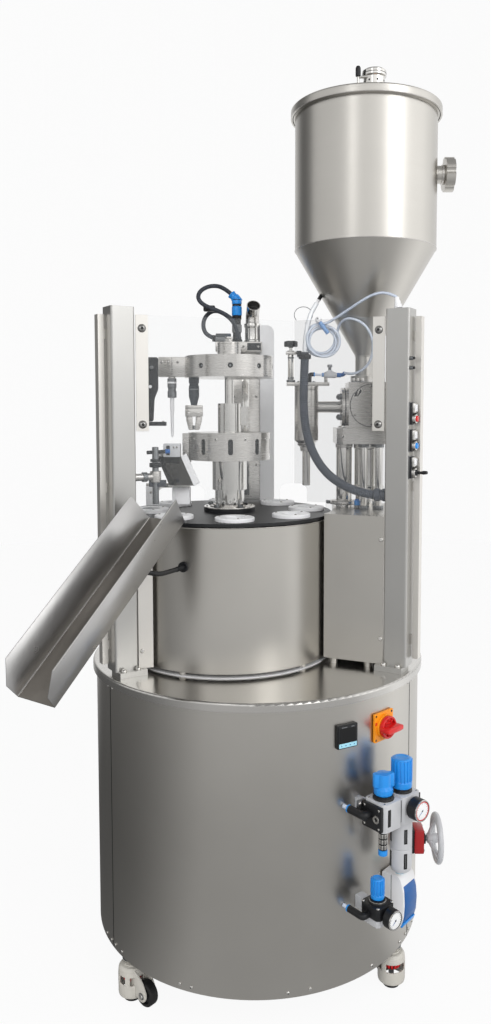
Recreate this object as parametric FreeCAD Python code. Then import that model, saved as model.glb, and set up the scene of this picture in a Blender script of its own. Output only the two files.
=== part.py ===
import FreeCAD
import Part
import math
import os

# Rotary tube filling machine on a round cabinet, in millimetres.
# The origin is on the floor at the cabinet's axis, +Z is up and the operator stands at -Y.
# A bearing is an angle from the front, -Y, towards the right, +X.

# Cabinet
SKIRT_R = 375.0
SKIRT_WALL = 2.0
SKIRT_Z0 = 97.0
SKIRT_Z1 = 690.0
SEAM_LEFT = -56.0
SEAM_RIGHT = 62.5
SEAM_GAP = 0.15
DECK_Z = 700.0
DECK_PLATE = 4.0
RIM_R = SKIRT_R + 8.0
RIM_WALL = 5.0
RIM_DROP = 18.0
RIM_ROUND = 5.0
FLOOR_PLATE = 6.0
FRAME_FIT = 0.5
UPRIGHT_SIDE = 40.0
UPRIGHT_WALL = 3.0
UPRIGHT_BEARINGS = (SEAM_LEFT, SEAM_RIGHT, 125.0, -119.0)
TOP_RING_R = 300.0

# Levelling casters
CASTER_R = SKIRT_R - 23.0
CASTER_BEARINGS = (-49.5, 57.5, 130.5, -122.5)
CASTER_TRAILS = (50.0, 200.0, 95.0, -95.0)
CASTER_BOSS_R = 21.0
CASTER_BOSS_H = 7.0
FORK_TOP_GAP = 0.3
FORK_BELL_R = 30.0
FORK_BELL_WALL = 5.0
FORK_BELL_Z0 = 36.0
FORK_BELL_Z1 = 78.0
FORK_NECK_R = 17.0
FORK_CHEEK = 5.0
WHEEL_R = 26.0
WHEEL_WIDTH = 20.0
WHEEL_LIFT = 2.0
WHEEL_TRAIL = 46.0
WHEEL_SIDE_GAP = 0.6
WHEEL_TREAD_GAP = 4.0
AXLE_R = 4.0
PIN_FIT = 0.05
PAD_R = 19.0
PAD_H = 10.0
FOOT_STEM_R = 6.0
FOOT_RING_R = 20.0
FOOT_RING_Z = 44.0
FOOT_RING_H = 10.0
FOOT_STEM_TOP = 82.0
FOOT_LIFT = 6.0

# Turret
TURRET_X = -66.0
TURRET_Y = 0.0
DRUM_R = 238.0
DRUM_WALL = 2.0
DRUM_GAP = 10.0
DRUM_Z1 = 1019.0
DRUM_LEGS = 5
DRUM_LEG_R = 9.0
DRUM_LEG_INSET = 16.0
DRUM_LEG_START = -24.0
PEDESTAL_R = 70.0
PEDESTAL_BORE = 54.0
BUSH_H = 40.0
RUNNING_FIT = 0.05
THRUST_GAP = 0.2
TABLE_Z0 = 1021.0
TABLE_THICK = 7.0
PEDESTAL_TOP = TABLE_Z0 - 21.0
TABLE_HUB_R = 60.0
TABLE_HUB_H = 8.0
TABLE_SHAFT_R = 50.0
TABLE_SHAFT_BORE = 35.5
TABLE_SHAFT_Z0 = 606.0
HOLDERS = 8
HOLDER_PITCH_R = 182.0
HOLDER_START = 6.3
HOLDER_FLANGE_R = 42.5
HOLDER_FLANGE_H = 8.0
HOLDER_BODY_R = 29.0
HOLDER_BODY_H = 83.0
HOLDER_FIT = 0.5
TUBE_BORE_R = 21.0
TUBE_BORE_FLOOR = 5.0
INDEXER_SIDE = 240.0
INDEXER_H = 110.0
INDEXER_FLOOR = 14.0
MOTOR_R = 55.0
MOTOR_L = 190.0

# Guide column and tool head
COLUMN_R = 34.5
COLUMN_TOP = 1165.0
HEAD_FIT = 0.05
SLEEVE_R = 40.5
SLEEVE_Z0 = 1079.0
SLEEVE_BORE_TOP = 1200.0
LOWER_RING_R = 95.0
LOWER_RING_Z0 = 1149.0
LOWER_RING_Z1 = 1212.0
UPPER_COLUMN_R = 27.0
UPPER_COLUMN_Z1 = 1279.0
SPINDLE_R = 10.5
UPPER_RING_R = 102.0
UPPER_RING_Z0 = 1338.0
UPPER_RING_Z1 = 1387.0
RING_FACETS = 9
RING_FACET_START = 4.5
RING_FACET_PITCH = 40.0
RING_FACET_DEPTH = 0.9
SLOT_W = 11.0
SLOT_H = 36.0
SLOT_DEEP = 14.0
RING_HOLE_R = 6.0
RING_BOSS_R = 27.0
RING_BOSS_H = 32.0
HEX_R = 9.0
HEX_H = 9.0
YOKE_Z0 = 1228.0
YOKE_Z1 = 1272.0
YOKE_X0 = -60.0
YOKE_X1 = -24.0
HEAD_DROP = 35.0
HEAD_RISE = 25.0

# Tools that hang on the head
BEAM_X0 = -231.0
BEAM_HALF = 14.0
PRESS_X = -199.0
PRESS_R = 10.5
PRESS_Z0 = 1292.0
PRESS_ROD_R = 5.0
PRESS_ROD_Z0 = 1200.0
STRAP_X0 = -258.0
STRAP_Z0 = 1236.0
STRAP_THICK = 8.0
JAW_DRIVE_X = -148.0
JAW_DRIVE_R = 12.0
JAW_YOKE_Z0 = 1264.0
JAW_YOKE_Z1 = 1275.0
JAW_PIVOT_Z = 1256.0
JAW_PIVOT_OFFSET = 11.0
JAW_PIN_R = 3.0
JAW_BOSS_R = 7.0
JAW_BOTTOM = 1217.0
JAW_THICK = 14.0
JAW_CHEEK_GAP = 0.4
JAW_CHEEK = 5.0

# Rear mast behind the turret
MAST_X0 = -74.0
MAST_X1 = 2.0
MAST_Y0 = 250.0
MAST_DEPTH = 40.0
MAST_WALL = 4.0
MAST_TOP = 1414.0
YOKE_GAP = 2.0
MAST_HEAD_X0 = -112.0
MAST_HEAD_X1 = 7.0
MAST_HEAD_Y0 = 212.0
MAST_HEAD_H = 26.0
CYLINDER_X = -18.0
CYLINDER_Y = 262.0
CYLINDER_R = 22.0
CYLINDER_H = 50.0
SPOUT_R = 18.0
SPOUT_WALL = 2.5
SPOUT_RISE = 24.0
SPOUT_L = 34.0
SPOUT_TILT = 52.0
BLUE_CAP_X = -58.0
COVER_W = 37.0
COVER_Y0 = 246.0
COVER_DEPTH = 34.0
COVER_Z0 = 1012.0
COVER_TOP = 1485.0
COVER_ROUND = 20.0

# Guard posts and walls
POST_W = 52.0
POST_D = 48.0
POST_WALL = 3.0
POST_ROUND = 4.0
POST_TOP = 1477.0
FOOT_H = 12.0
FOOT_L = 62.0
FOOT_SHIFT = 10.0
FOOT_FRONT = 13.0
FOOT_BACK = 14.0
POST_LEFT_X = -273.0
POST_LEFT_Y = -215.0
POST_LEFT_ANGLE = 33.0
POST_RIGHT_X = 297.0
POST_RIGHT_Y = -183.0
POST_RIGHT_ANGLE = -28.0
WALL_JOINT_X = 82.0
WALL_JOINT_Y = -88.0
PANE_THICK = 5.0
PANE_TOP = 1461.0
PANE_Z0 = 1060.0
PANE_END_GAP = 0.5
ARCH_R = 32.0
ARCH_TOP = 1100.0
ARCH_LEFT_S = 116.0
STRIP_W = 26.0
STRIP_THICK = 3.0
STRIP_Z0 = 1219.0
LOWER_SHEET_W = 32.0
LOWER_SHEET_THICK = 2.0
SHEET_BOLT_UP = 50.0
RAIL_W = 13.0
RAIL_D = 18.0
RAIL_OUT = 4.0
RAIL_Z0 = 725.0

# Dosing unit
BOX_Z0 = 712.0
BOX_TOP = 1035.0
BOX_WALL = 2.0
BOX_DRUM_GAP = 5.0
BOX_FOOT_R = 10.0
BOX_FOOT_INSET = 12.0
BOX_FRONT_X = 149.0
BOX_FRONT_Y = -117.0
BOX_X0 = 181.0
BOX_X1 = 324.0
BOX_Y1 = 92.0
BOX_SIDE_X = 300.0
BOX_SIDE_Y0 = -98.0
BOX_SIDE_Y1 = -40.0
DOSE_X = 262.0
DOSE_Y = 20.0
DOSE_PLATE_X0 = 182.0
DOSE_PLATE_X1 = 332.0
DOSE_PLATE_Y0 = -55.0
DOSE_PLATE_Y1 = 95.0
DOSE_PLATE_Z0 = 1186.0
DOSE_PLATE_Z1 = 1222.0
DOSE_PLATE_CHAMFER = 13.0
PUMP_R = 36.0
PUMP_Z0 = 1075.0
PUMP_ROD_R = 10.0
TIE_X = 204.0
TIE_R = 18.5
TIE_CLAMP_R = 31.0
TIE_CLAMP_Z0 = 1042.0
TIE_CLAMP_H = 9.0
ROD_R = 8.0
ROD_HALF_X = 17.0
ROD_HALF_Y = 53.0
VALVE_X0 = 210.0
VALVE_X1 = 314.0
VALVE_HALF_Y = 48.0
VALVE_TOP = 1328.0
VALVE_COVER_R = 48.0
VALVE_COVER_H = 4.0
VALVE_FLANGE_R = 45.0
VALVE_FLANGE_H = 14.0
PIPE_Z = 1271.0
PIPE_R = 13.5
PIPE_WALL = 2.0
FERRULE_R = 32.0
FERRULE_H = 8.0

# Filling head
HEAD_R = 28.0
HEAD_Z0 = 1191.0
HEAD_Z1 = 1320.0
REDUCER_R = 20.0
REDUCER_H = 10.0
COLLAR_R = 14.0
COLLAR_H = 14.0
NOZZLE_R = 9.5
NOZZLE_BORE = 6.0
NOZZLE_TIP = 1086.0
NOZZLE_TOP = 1245.0
NOZZLE_ROOM = 1255.0
NOZZLE_FIT = 0.05
NOZZLE_STROKE = 32.0
CROSS_BAR_X0 = 68.0
CROSS_BAR_X1 = 168.0
CROSS_BAR_H = 9.0
ADJUSTER_X = 78.0
ADJUSTER_R = 7.0
ADJUSTER_Z1 = 1393.0
ADJUSTER_CAP_H = 7.0
STAR_R = 16.5
STAR_Z0 = 1411.0
STAR_H = 14.0
SOCKET_H = 11.0
FLOW_VALVE_X0 = 152.0
FLOW_VALVE_X1 = 199.0
FLOW_VALVE_Z = 1352.0

# Hopper
HOPPER_X = 250.0
HOPPER_Y = 20.0
HOPPER_R = 163.0
HOPPER_WALL = 2.0
HOPPER_NECK_R = 21.0
HOPPER_NECK_TOP = 1389.0
HOPPER_CONE_TOP = 1632.0
HOPPER_TOP = 1939.0
HOPPER_BEAD = 4.0
LID_R = 173.0
LID_GAP = 0.3
LID_THICK = 10.0
LID_LIP_DROP = 9.0
LID_LIP_R = 168.5
LID_TURRET_X = 18.0
LID_TURRET_R = 28.0
LID_TURRET_H = 89.7
LID_STALK_X = -38.0
LID_STALK_Y = -12.0
LID_STALK_R = 2.5
PORT_Z = 1806.0
PORT_R = 20.0
PORT_L = 18.0
PORT_CAP_R = 38.5
PORT_CAP_H = 21.0
PORT_CAP_NOTCHES = 6
LID_LIFT = 250.0

# Discharge chute
CHUTE_TOP = (-181.0, -260.0, 1040.0)
CHUTE_END = (-374.0, -538.0, 759.0)
CHUTE_W = 97.0
CHUTE_WALL_H = 65.0
CHUTE_SPLAY = 12.0
CHUTE_SHEET = 2.0
CHUTE_CORNER = 34.0
ARM_R = 5.0
ARM_Z = 936.0
ARM_ROOT_BEARING = -21.0
ARM_REACH = 34.0

# Controls on the cabinet
CONTROL_GAP = 0.3
GAUGE_SIDE = 48.0
GAUGE_BEARING = 28.8
GAUGE_Z = 617.0
GAUGE_BEZEL = 8.0
GAUGE_BODY = 44.0
GAUGE_DEEP = 60.0
SWITCH_BEARING = 44.0
SWITCH_Z = 615.0
SWITCH_SIDE = 60.0
SWITCH_PLATE = 5.0
SWITCH_COLLAR_R = 25.0
SWITCH_COLLAR_H = 6.0
SWITCH_KNOB_R = 23.0
SWITCH_KNOB_H = 9.0
SWITCH_GRIP_H = 17.0
SWITCH_GRIP_W = 12.0
SWITCH_BODY = 50.0
SWITCH_DEEP = 45.0
CUTOUT_FIT = 0.5
AIR_BEARING = 40.0
AIR_AXIS = SKIRT_R + 54.0
AIR_HALF_D = 28.0
AIR_MODULE = 54.0
AIR_SHIFT = -1.0
AIR_Z0 = 440.0
AIR_Z1 = 497.0
AIR_COLLAR_R = 21.0
AIR_COLLAR_H = 8.0
AIR_SPIGOT_R = 8.0
AIR_SPIGOT_H = 6.0
AIR_KNOB_A_R = 22.0
AIR_KNOB_A_H = 43.0
AIR_KNOB_B_R = 22.0
AIR_KNOB_B_H = 60.0
AIR_BOWL_R = 22.5
AIR_BOWL_Z0 = 324.0
SILENCER_R = 10.0
SILENCER_Z0 = 380.0
DIAL_R = 22.0
DIAL_H = 24.0
DIAL_Z = 474.0
SMALL_S0 = -63.0
SMALL_S1 = -13.0
SMALL_AXIS = SKIRT_R + 50.0
SMALL_HALF_D = 25.0
SMALL_Z0 = 246.0
SMALL_Z1 = 286.0
SMALL_KNOB_R = 14.5
SMALL_KNOB_H = 42.0
SMALL_DIAL_R = 19.5
SMALL_DIAL_Z = 268.0
PRESSURE_BEARING = 50.0
PRESSURE_S0 = -38.0
PRESSURE_S1 = 14.0
PRESSURE_N1 = SKIRT_R + 57.0
PRESSURE_Z0 = 192.0
PRESSURE_Z1 = 305.0
SHUTOFF_BEARING = 55.0
SHUTOFF_SKIN_X = SKIRT_R * math.sin(math.radians(SHUTOFF_BEARING))
SHUTOFF_X0 = SHUTOFF_SKIN_X + 22.8
SHUTOFF_X1 = SHUTOFF_X0 + 28.0
SHUTOFF_Y = -SKIRT_R * math.cos(math.radians(SHUTOFF_BEARING))
SHUTOFF_HALF = 20.0
SHUTOFF_Z = 345.0
SHUTOFF_HALF_H = 26.0
HANDWHEEL_X = SHUTOFF_X1 + 30.0
HANDWHEEL_R = 53.0
HANDWHEEL_RIM = 6.5
HANDWHEEL_HUB_R = 9.0
HANDWHEEL_SPOKES = 3
UNIT_Z = (1256.0, 1199.0, 1142.0)
UNIT_HALF_H = 23.0
UNIT_DEEP = 15.0
GLAND_R = 14.0
GLAND_DEPTH = 30.0
ARM_WIDTH = 16.0

# Cords
CABLE_R = 5.5
HOSE_R = 10.0
TUBE_R = 3.0
CABLE_A_ROUTE = (
    (-73, 251, 1566), (-94, 246, 1584), (-126, 232, 1585), (-152, 220, 1570),
    (-157, 208, 1548), (-140, 198, 1530), (-112, 193, 1519), (-84, 195, 1507),
    (-64, 203, 1488), (-55, 214, 1464), (-52, 225, 1440),
)
CABLE_B_ROUTE = (
    (-75, 247, 1504), (-97, 246, 1520), (-123, 243, 1522), (-142, 239, 1504),
    (-146, 235, 1478), (-135, 233, 1456), (-112, 232, 1449),
)
HOSE_ROUTE = (
    (256, -137, 1079), (226, -127, 1083), (189, -109, 1098), (155, -82, 1122),
    (128, -55, 1162), (112, -34, 1212), (106, -25, 1270), (107, -23, 1330), (109, -22, 1380),
)
TUBE_LEAD_ROUTE = (
    (297, -166, 1502), (280, -150, 1514), (254, -128, 1514), (226, -100, 1500), (200, -70, 1484),
    (178, -44, 1472), (162, -20, 1462),
)
TUBE_TAIL_ROUTE = (
    (160, -17, 1456), (184, -31, 1469), (213, -46, 1471), (243, -54, 1457), (260, -53, 1428),
    (263, -48, 1396), (254, -40, 1367), (234, -27, 1350), (214, -11, 1346), (203, 6, 1350),
)
COIL_X = 149.0
COIL_Y = -15.0
COIL_Z = 1424.0
COIL_R = 33.0
COIL_SECTION = 8.0

V = FreeCAD.Vector
X = V(1, 0, 0)
Y = V(0, 1, 0)
Z = V(0, 0, 1)


def turret(x=0.0, y=0.0, z=0.0):
    return V(TURRET_X + x, TURRET_Y + y, z)


def outward(bearing):
    a = math.radians(bearing)
    return V(math.sin(a), -math.cos(a), 0)


def polar(radius, bearing, z=0.0, centre=V(0, 0, 0)):
    return centre + outward(bearing) * radius + V(0, 0, z)


def box(x0, x1, y0, y1, z0, z1):
    return Part.makeBox(x1 - x0, y1 - y0, z1 - z0, V(x0, y0, z0))


def rod(radius, start, direction, length):
    return Part.makeCylinder(radius, length, start, direction)


def pole(radius, x, y, z0, z1):
    return Part.makeCylinder(radius, z1 - z0, V(x, y, z0), Z)


def pipe(outer, inner, x, y, z0, z1):
    return pole(outer, x, y, z0, z1).cut(pole(inner, x, y, z0 - 1, z1 + 1))


def prism(points, z0, z1):
    corners = [V(p[0], p[1], z0) for p in points]
    face = Part.Face(Part.makePolygon(corners + corners[:1]))
    return face.extrude(V(0, 0, z1 - z0))


def plate_xz(points, y0, y1):
    corners = [V(p[0], y0, p[1]) for p in points]
    face = Part.Face(Part.makePolygon(corners + corners[:1]))
    return face.extrude(V(0, y1 - y0, 0))


def revolve(profile, x=0.0, y=0.0):
    corners = [V(x + r, y, z) for r, z in profile]
    face = Part.Face(Part.makePolygon(corners + corners[:1]))
    return face.revolve(V(x, y, 0), Z, 360)


def sector(outer, inner, z0, z1, bearing0, bearing1):
    span = bearing1 - bearing0
    big = Part.makeCylinder(outer, z1 - z0, V(0, 0, z0), Z, span)
    small = Part.makeCylinder(inner, z1 - z0 + 2, V(0, 0, z0 - 1), Z)
    ring = big.cut(small)
    ring.rotate(V(0, 0, 0), Z, bearing0 - 90)
    return ring


def join(*shapes):
    whole = shapes[0]
    for shape in shapes[1:]:
        whole = whole.fuse(shape)
    return whole.removeSplitter()


def group(shapes):
    solids = []
    for shape in shapes:
        solids.extend(shape.Solids)
    return Part.makeCompound(solids)


def on_bearing(shape, bearing):
    # A shape made with -Y outward and +X along the wall turns to face the bearing.
    turned = shape.copy()
    turned.rotate(V(0, 0, 0), Z, bearing)
    return turned


def in_post(shape, x, y, angle):
    # A shape made with the post's front face on y = 0 and its middle on x = 0.
    placed = shape.copy()
    placed.rotate(V(0, 0, 0), Z, angle)
    placed.translate(V(x, y, 0))
    return placed


def post_point(x, y, angle, u, v, z=0.0):
    a = math.radians(angle)
    along = V(math.cos(a), math.sin(a), 0)
    depth = V(-math.sin(a), math.cos(a), 0)
    return V(x, y, z) + along * u + depth * v


def bolt(point, direction, head_r=6.0, head_h=4.0):
    head = rod(head_r, point, direction, head_h)
    rim = [e for e in head.Edges if e.Curve.TypeId == "Part::GeomCircle"]
    far = max(rim, key=lambda e: e.CenterOfMass.dot(direction))
    return head.makeFillet(head_h * 0.6, [far])


def corner_radius(a, b, c):
    before = a - b
    after = c - b
    turn = math.pi - before.getAngle(after)
    return 0.45 * min(before.Length, after.Length) / math.tan(turn / 2), turn


def cord(name, route, radius):
    # Straight runs joined by tangent arcs, swept with a round section.
    points = [V(*p) for p in route]
    edges = []
    start = points[0]
    radii = []
    for a, b, c in zip(points, points[1:], points[2:]):
        bend, turn = corner_radius(a, b, c)
        radii.append(bend)
        back = (a - b).normalize()
        ahead = (c - b).normalize()
        reach = bend * math.tan(turn / 2)
        enter = b + back * reach
        leave = b + ahead * reach
        inward = (back + ahead).normalize()
        centre = b + inward * (bend / math.cos(turn / 2))
        middle = centre - inward * bend
        edges.append(Part.LineSegment(start, enter).toShape())
        edges.append(Part.Arc(enter, middle, leave).toShape())
        start = leave
    edges.append(Part.LineSegment(start, points[-1]).toShape())
    path = Part.Wire(edges)
    section = Part.Wire([Part.makeCircle(radius, points[0], points[1] - points[0])])
    tube = path.makePipeShell([section], True, True)
    expected = math.pi * radius ** 2 * path.Length
    print(f"{name}: length {path.Length:.0f}, tightest radius {min(radii):.0f}, "
          f"diameter {2 * radius:.0f}, volume ratio {tube.Volume / expected:.3f}")
    return tube


def panel_cutouts():
    half_g = GAUGE_BODY / 2 + CUTOUT_FIT
    half_s = SWITCH_BODY / 2 + CUTOUT_FIT
    gauge = box(-half_g, half_g, -SKIRT_R - 5, -SKIRT_R + 20, GAUGE_Z - half_g, GAUGE_Z + half_g)
    switch = box(-half_s, half_s, -SKIRT_R - 5, -SKIRT_R + 20, SWITCH_Z - half_s, SWITCH_Z + half_s)
    return on_bearing(gauge, GAUGE_BEARING), on_bearing(switch, SWITCH_BEARING)


def base_skirt_front():
    sheet = sector(SKIRT_R, SKIRT_R - SKIRT_WALL, SKIRT_Z0, SKIRT_Z1,
                   SEAM_LEFT + SEAM_GAP, SEAM_RIGHT - SEAM_GAP)
    for hole in panel_cutouts():
        sheet = sheet.cut(hole)
    return sheet


def base_skirt_rear():
    return sector(SKIRT_R, SKIRT_R - SKIRT_WALL, SKIRT_Z0, SKIRT_Z1,
                  SEAM_RIGHT + SEAM_GAP, 360 + SEAM_LEFT - SEAM_GAP)


def deck_plate():
    disc = pole(RIM_R, 0, 0, DECK_Z - RIM_DROP, DECK_Z)
    top_edge = [e for e in disc.Edges
                if e.Curve.TypeId == "Part::GeomCircle" and e.CenterOfMass.z > DECK_Z - 1]
    disc = disc.makeFillet(RIM_ROUND, top_edge)
    disc = disc.cut(pole(RIM_R - RIM_WALL, 0, 0, DECK_Z - RIM_DROP - 1, DECK_Z - DECK_PLATE))
    return disc.cut(pole(PEDESTAL_BORE, TURRET_X, TURRET_Y, DECK_Z - 10, DECK_Z + 1))


def base_frame():
    reach = SKIRT_R - SKIRT_WALL - FRAME_FIT
    floor_top = SKIRT_Z0 + FLOOR_PLATE
    deck_under = DECK_Z - DECK_PLATE
    parts = [pole(reach, 0, 0, SKIRT_Z0, floor_top)]
    parts.append(pole(reach, 0, 0, SKIRT_Z1, deck_under).cut(pole(TOP_RING_R, 0, 0, SKIRT_Z1 - 1, DECK_Z)))
    half = UPRIGHT_SIDE / 2
    radius = math.sqrt(reach ** 2 - half ** 2) - half
    for bearing in UPRIGHT_BEARINGS:
        outer = box(-half, half, -radius - half, -radius + half, floor_top - 1, SKIRT_Z1 + 1)
        inset = half - UPRIGHT_WALL
        inner = box(-inset, inset, -radius - inset, -radius + inset, floor_top, SKIRT_Z1)
        parts.append(on_bearing(outer.cut(inner), bearing))
    for bearing in CASTER_BEARINGS:
        at = polar(CASTER_R, bearing)
        parts.append(pole(CASTER_BOSS_R, at.x, at.y, SKIRT_Z0 - CASTER_BOSS_H, SKIRT_Z0 + 1))
    return join(*parts)


def indexer_drive():
    top = DECK_Z - DECK_PLATE
    half = INDEXER_SIDE / 2
    case = box(-half, half, -half, half, top - INDEXER_H, top)
    motor = rod(MOTOR_R, V(-half, 0, top - INDEXER_H / 2), V(-1, 0, 0), 30)
    motor = motor.fuse(rod(MOTOR_R - 6, V(half - 5, 0, top - INDEXER_H / 2), X, MOTOR_L))
    case = case.fuse(motor)
    case = case.cut(pole(TABLE_SHAFT_R + 1, 0, 0, top - INDEXER_H + INDEXER_FLOOR, top + 1))
    case.translate(V(TURRET_X, TURRET_Y, 0))
    return case


def turret_shell():
    z0 = DECK_Z + DRUM_GAP
    wall = pipe(DRUM_R, DRUM_R - DRUM_WALL, TURRET_X, TURRET_Y, z0, DRUM_Z1)
    floor = pipe(DRUM_R - 1, PEDESTAL_R - 1, TURRET_X, TURRET_Y, z0, z0 + 3)
    pedestal = pipe(PEDESTAL_R, PEDESTAL_BORE, TURRET_X, TURRET_Y, DECK_Z, PEDESTAL_TOP)
    bush = pipe(PEDESTAL_BORE + 1, TABLE_SHAFT_R + RUNNING_FIT, TURRET_X, TURRET_Y,
                PEDESTAL_TOP - BUSH_H, PEDESTAL_TOP)
    parts = [wall, floor, pedestal, bush]
    for i in range(DRUM_LEGS):
        at = polar(DRUM_R - DRUM_LEG_INSET, DRUM_LEG_START + i * 360 / DRUM_LEGS, 0, turret())
        parts.append(pole(DRUM_LEG_R, at.x, at.y, DECK_Z, z0 + 1))
    shell = join(*parts)
    root = polar(DRUM_R, ARM_ROOT_BEARING, ARM_Z, turret())
    hole = rod(ARM_R + CUTOUT_FIT, root - outward(ARM_ROOT_BEARING) * 8, outward(ARM_ROOT_BEARING), 16)
    return shell.cut(hole)


def holder_points():
    for i in range(HOLDERS):
        a = math.radians(HOLDER_START + i * 360 / HOLDERS)
        yield turret(HOLDER_PITCH_R * math.cos(a), HOLDER_PITCH_R * math.sin(a))


def turntable():
    top = TABLE_Z0 + TABLE_THICK
    disc = pole(DRUM_R, TURRET_X, TURRET_Y, TABLE_Z0, top)
    for at in holder_points():
        disc = disc.cut(pole(HOLDER_BODY_R + HOLDER_FIT, at.x, at.y, TABLE_Z0 - 1, top + 1))
    hub = pole(TABLE_HUB_R, TURRET_X, TURRET_Y, top - 1, top + TABLE_HUB_H)
    collar = pole(PEDESTAL_R - 6, TURRET_X, TURRET_Y, PEDESTAL_TOP + THRUST_GAP, TABLE_Z0 + 1)
    shaft = pole(TABLE_SHAFT_R, TURRET_X, TURRET_Y, TABLE_SHAFT_Z0, TABLE_Z0 + 1)
    whole = join(disc, hub, collar, shaft)
    return whole.cut(pole(TABLE_SHAFT_BORE, TURRET_X, TURRET_Y, TABLE_SHAFT_Z0 - 1, top + TABLE_HUB_H + 1))


def tube_holders():
    top = TABLE_Z0 + TABLE_THICK
    cups = []
    for at in holder_points():
        flange = pole(HOLDER_FLANGE_R, at.x, at.y, top, top + HOLDER_FLANGE_H)
        rim = [e for e in flange.Edges
               if e.Curve.TypeId == "Part::GeomCircle" and e.CenterOfMass.z > top + 1]
        flange = flange.makeFillet(2.0, rim)
        body = pole(HOLDER_BODY_R, at.x, at.y, top - HOLDER_BODY_H, top + 1)
        bore = pole(TUBE_BORE_R, at.x, at.y, top - HOLDER_BODY_H + TUBE_BORE_FLOOR, top + 20)
        cups.append(flange.fuse(body).cut(bore))
    return group(cups)


def guide_column():
    foot_z = DECK_Z - DECK_PLATE - INDEXER_H + INDEXER_FLOOR
    return pole(COLUMN_R, TURRET_X, TURRET_Y, foot_z, COLUMN_TOP)


def facet_ring(radius, z0, z1, bore):
    ring = pipe(radius, bore, TURRET_X, TURRET_Y, z0, z1)
    for i in range(RING_FACETS):
        bearing = RING_FACET_START + i * RING_FACET_PITCH
        slab = box(-20, 20, -radius - 10, -radius + RING_FACET_DEPTH, z0 - 1, z1 + 1)
        slab = on_bearing(slab, bearing)
        slab.translate(turret())
        ring = ring.cut(slab)
    return ring


def lower_tool_ring():
    ring = facet_ring(LOWER_RING_R, LOWER_RING_Z0, LOWER_RING_Z1, SLEEVE_R)
    mid = (LOWER_RING_Z0 + LOWER_RING_Z1) / 2
    for i in range(RING_FACETS):
        half = SLOT_H / 2 - SLOT_W / 2
        slot = box(-SLOT_W / 2, SLOT_W / 2, -LOWER_RING_R - 5, -LOWER_RING_R + SLOT_DEEP, mid - half, mid + half)
        for end in (mid - half, mid + half):
            start = V(0, -LOWER_RING_R - 5, end)
            slot = slot.fuse(rod(SLOT_W / 2, start, Y, SLOT_DEEP + 5))
        slot = on_bearing(slot, RING_FACET_START + i * RING_FACET_PITCH)
        slot.translate(turret())
        ring = ring.cut(slot)
    clamp_x = TURRET_X - LOWER_RING_R
    clamp = box(clamp_x - 13, clamp_x + 6, -16, 16, LOWER_RING_Z0 - 6, LOWER_RING_Z1 - 2)
    clamp = clamp.cut(pole(SLEEVE_R + 20, TURRET_X, TURRET_Y, LOWER_RING_Z0 - 10, LOWER_RING_Z1))
    return join(ring, clamp)


def upper_tool_ring():
    ring = facet_ring(UPPER_RING_R, UPPER_RING_Z0, UPPER_RING_Z1, SPINDLE_R)
    mid = (UPPER_RING_Z0 + UPPER_RING_Z1) / 2
    for i in range(RING_FACETS):
        bearing = RING_FACET_START + i * RING_FACET_PITCH
        start = polar(UPPER_RING_R - SLOT_DEEP, bearing, mid, turret())
        ring = ring.cut(rod(RING_HOLE_R, start, outward(bearing), SLOT_DEEP + 5))
    boss = pole(RING_BOSS_R, TURRET_X, TURRET_Y, UPPER_RING_Z1, UPPER_RING_Z1 + RING_BOSS_H)
    nut_z = UPPER_RING_Z1 + RING_BOSS_H
    nut = prism([polar(HEX_R, 60 * i, 0, turret()) for i in range(6)], nut_z - 1, nut_z + HEX_H)
    return join(ring, boss, nut)


def head_sleeve():
    parts = [
        pole(SLEEVE_R, TURRET_X, TURRET_Y, SLEEVE_Z0, LOWER_RING_Z1),
        pole(UPPER_COLUMN_R, TURRET_X, TURRET_Y, LOWER_RING_Z1 - 1, UPPER_COLUMN_Z1),
        pole(SPINDLE_R, TURRET_X, TURRET_Y, UPPER_COLUMN_Z1 - 1, UPPER_RING_Z1),
        box(YOKE_X0, YOKE_X1, 10, MAST_Y0 - YOKE_GAP, YOKE_Z0, YOKE_Z1),
    ]
    whole = join(*parts)
    return whole.cut(pole(COLUMN_R + HEAD_FIT, TURRET_X, TURRET_Y, SLEEVE_Z0 - 1, SLEEVE_BORE_TOP))


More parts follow.
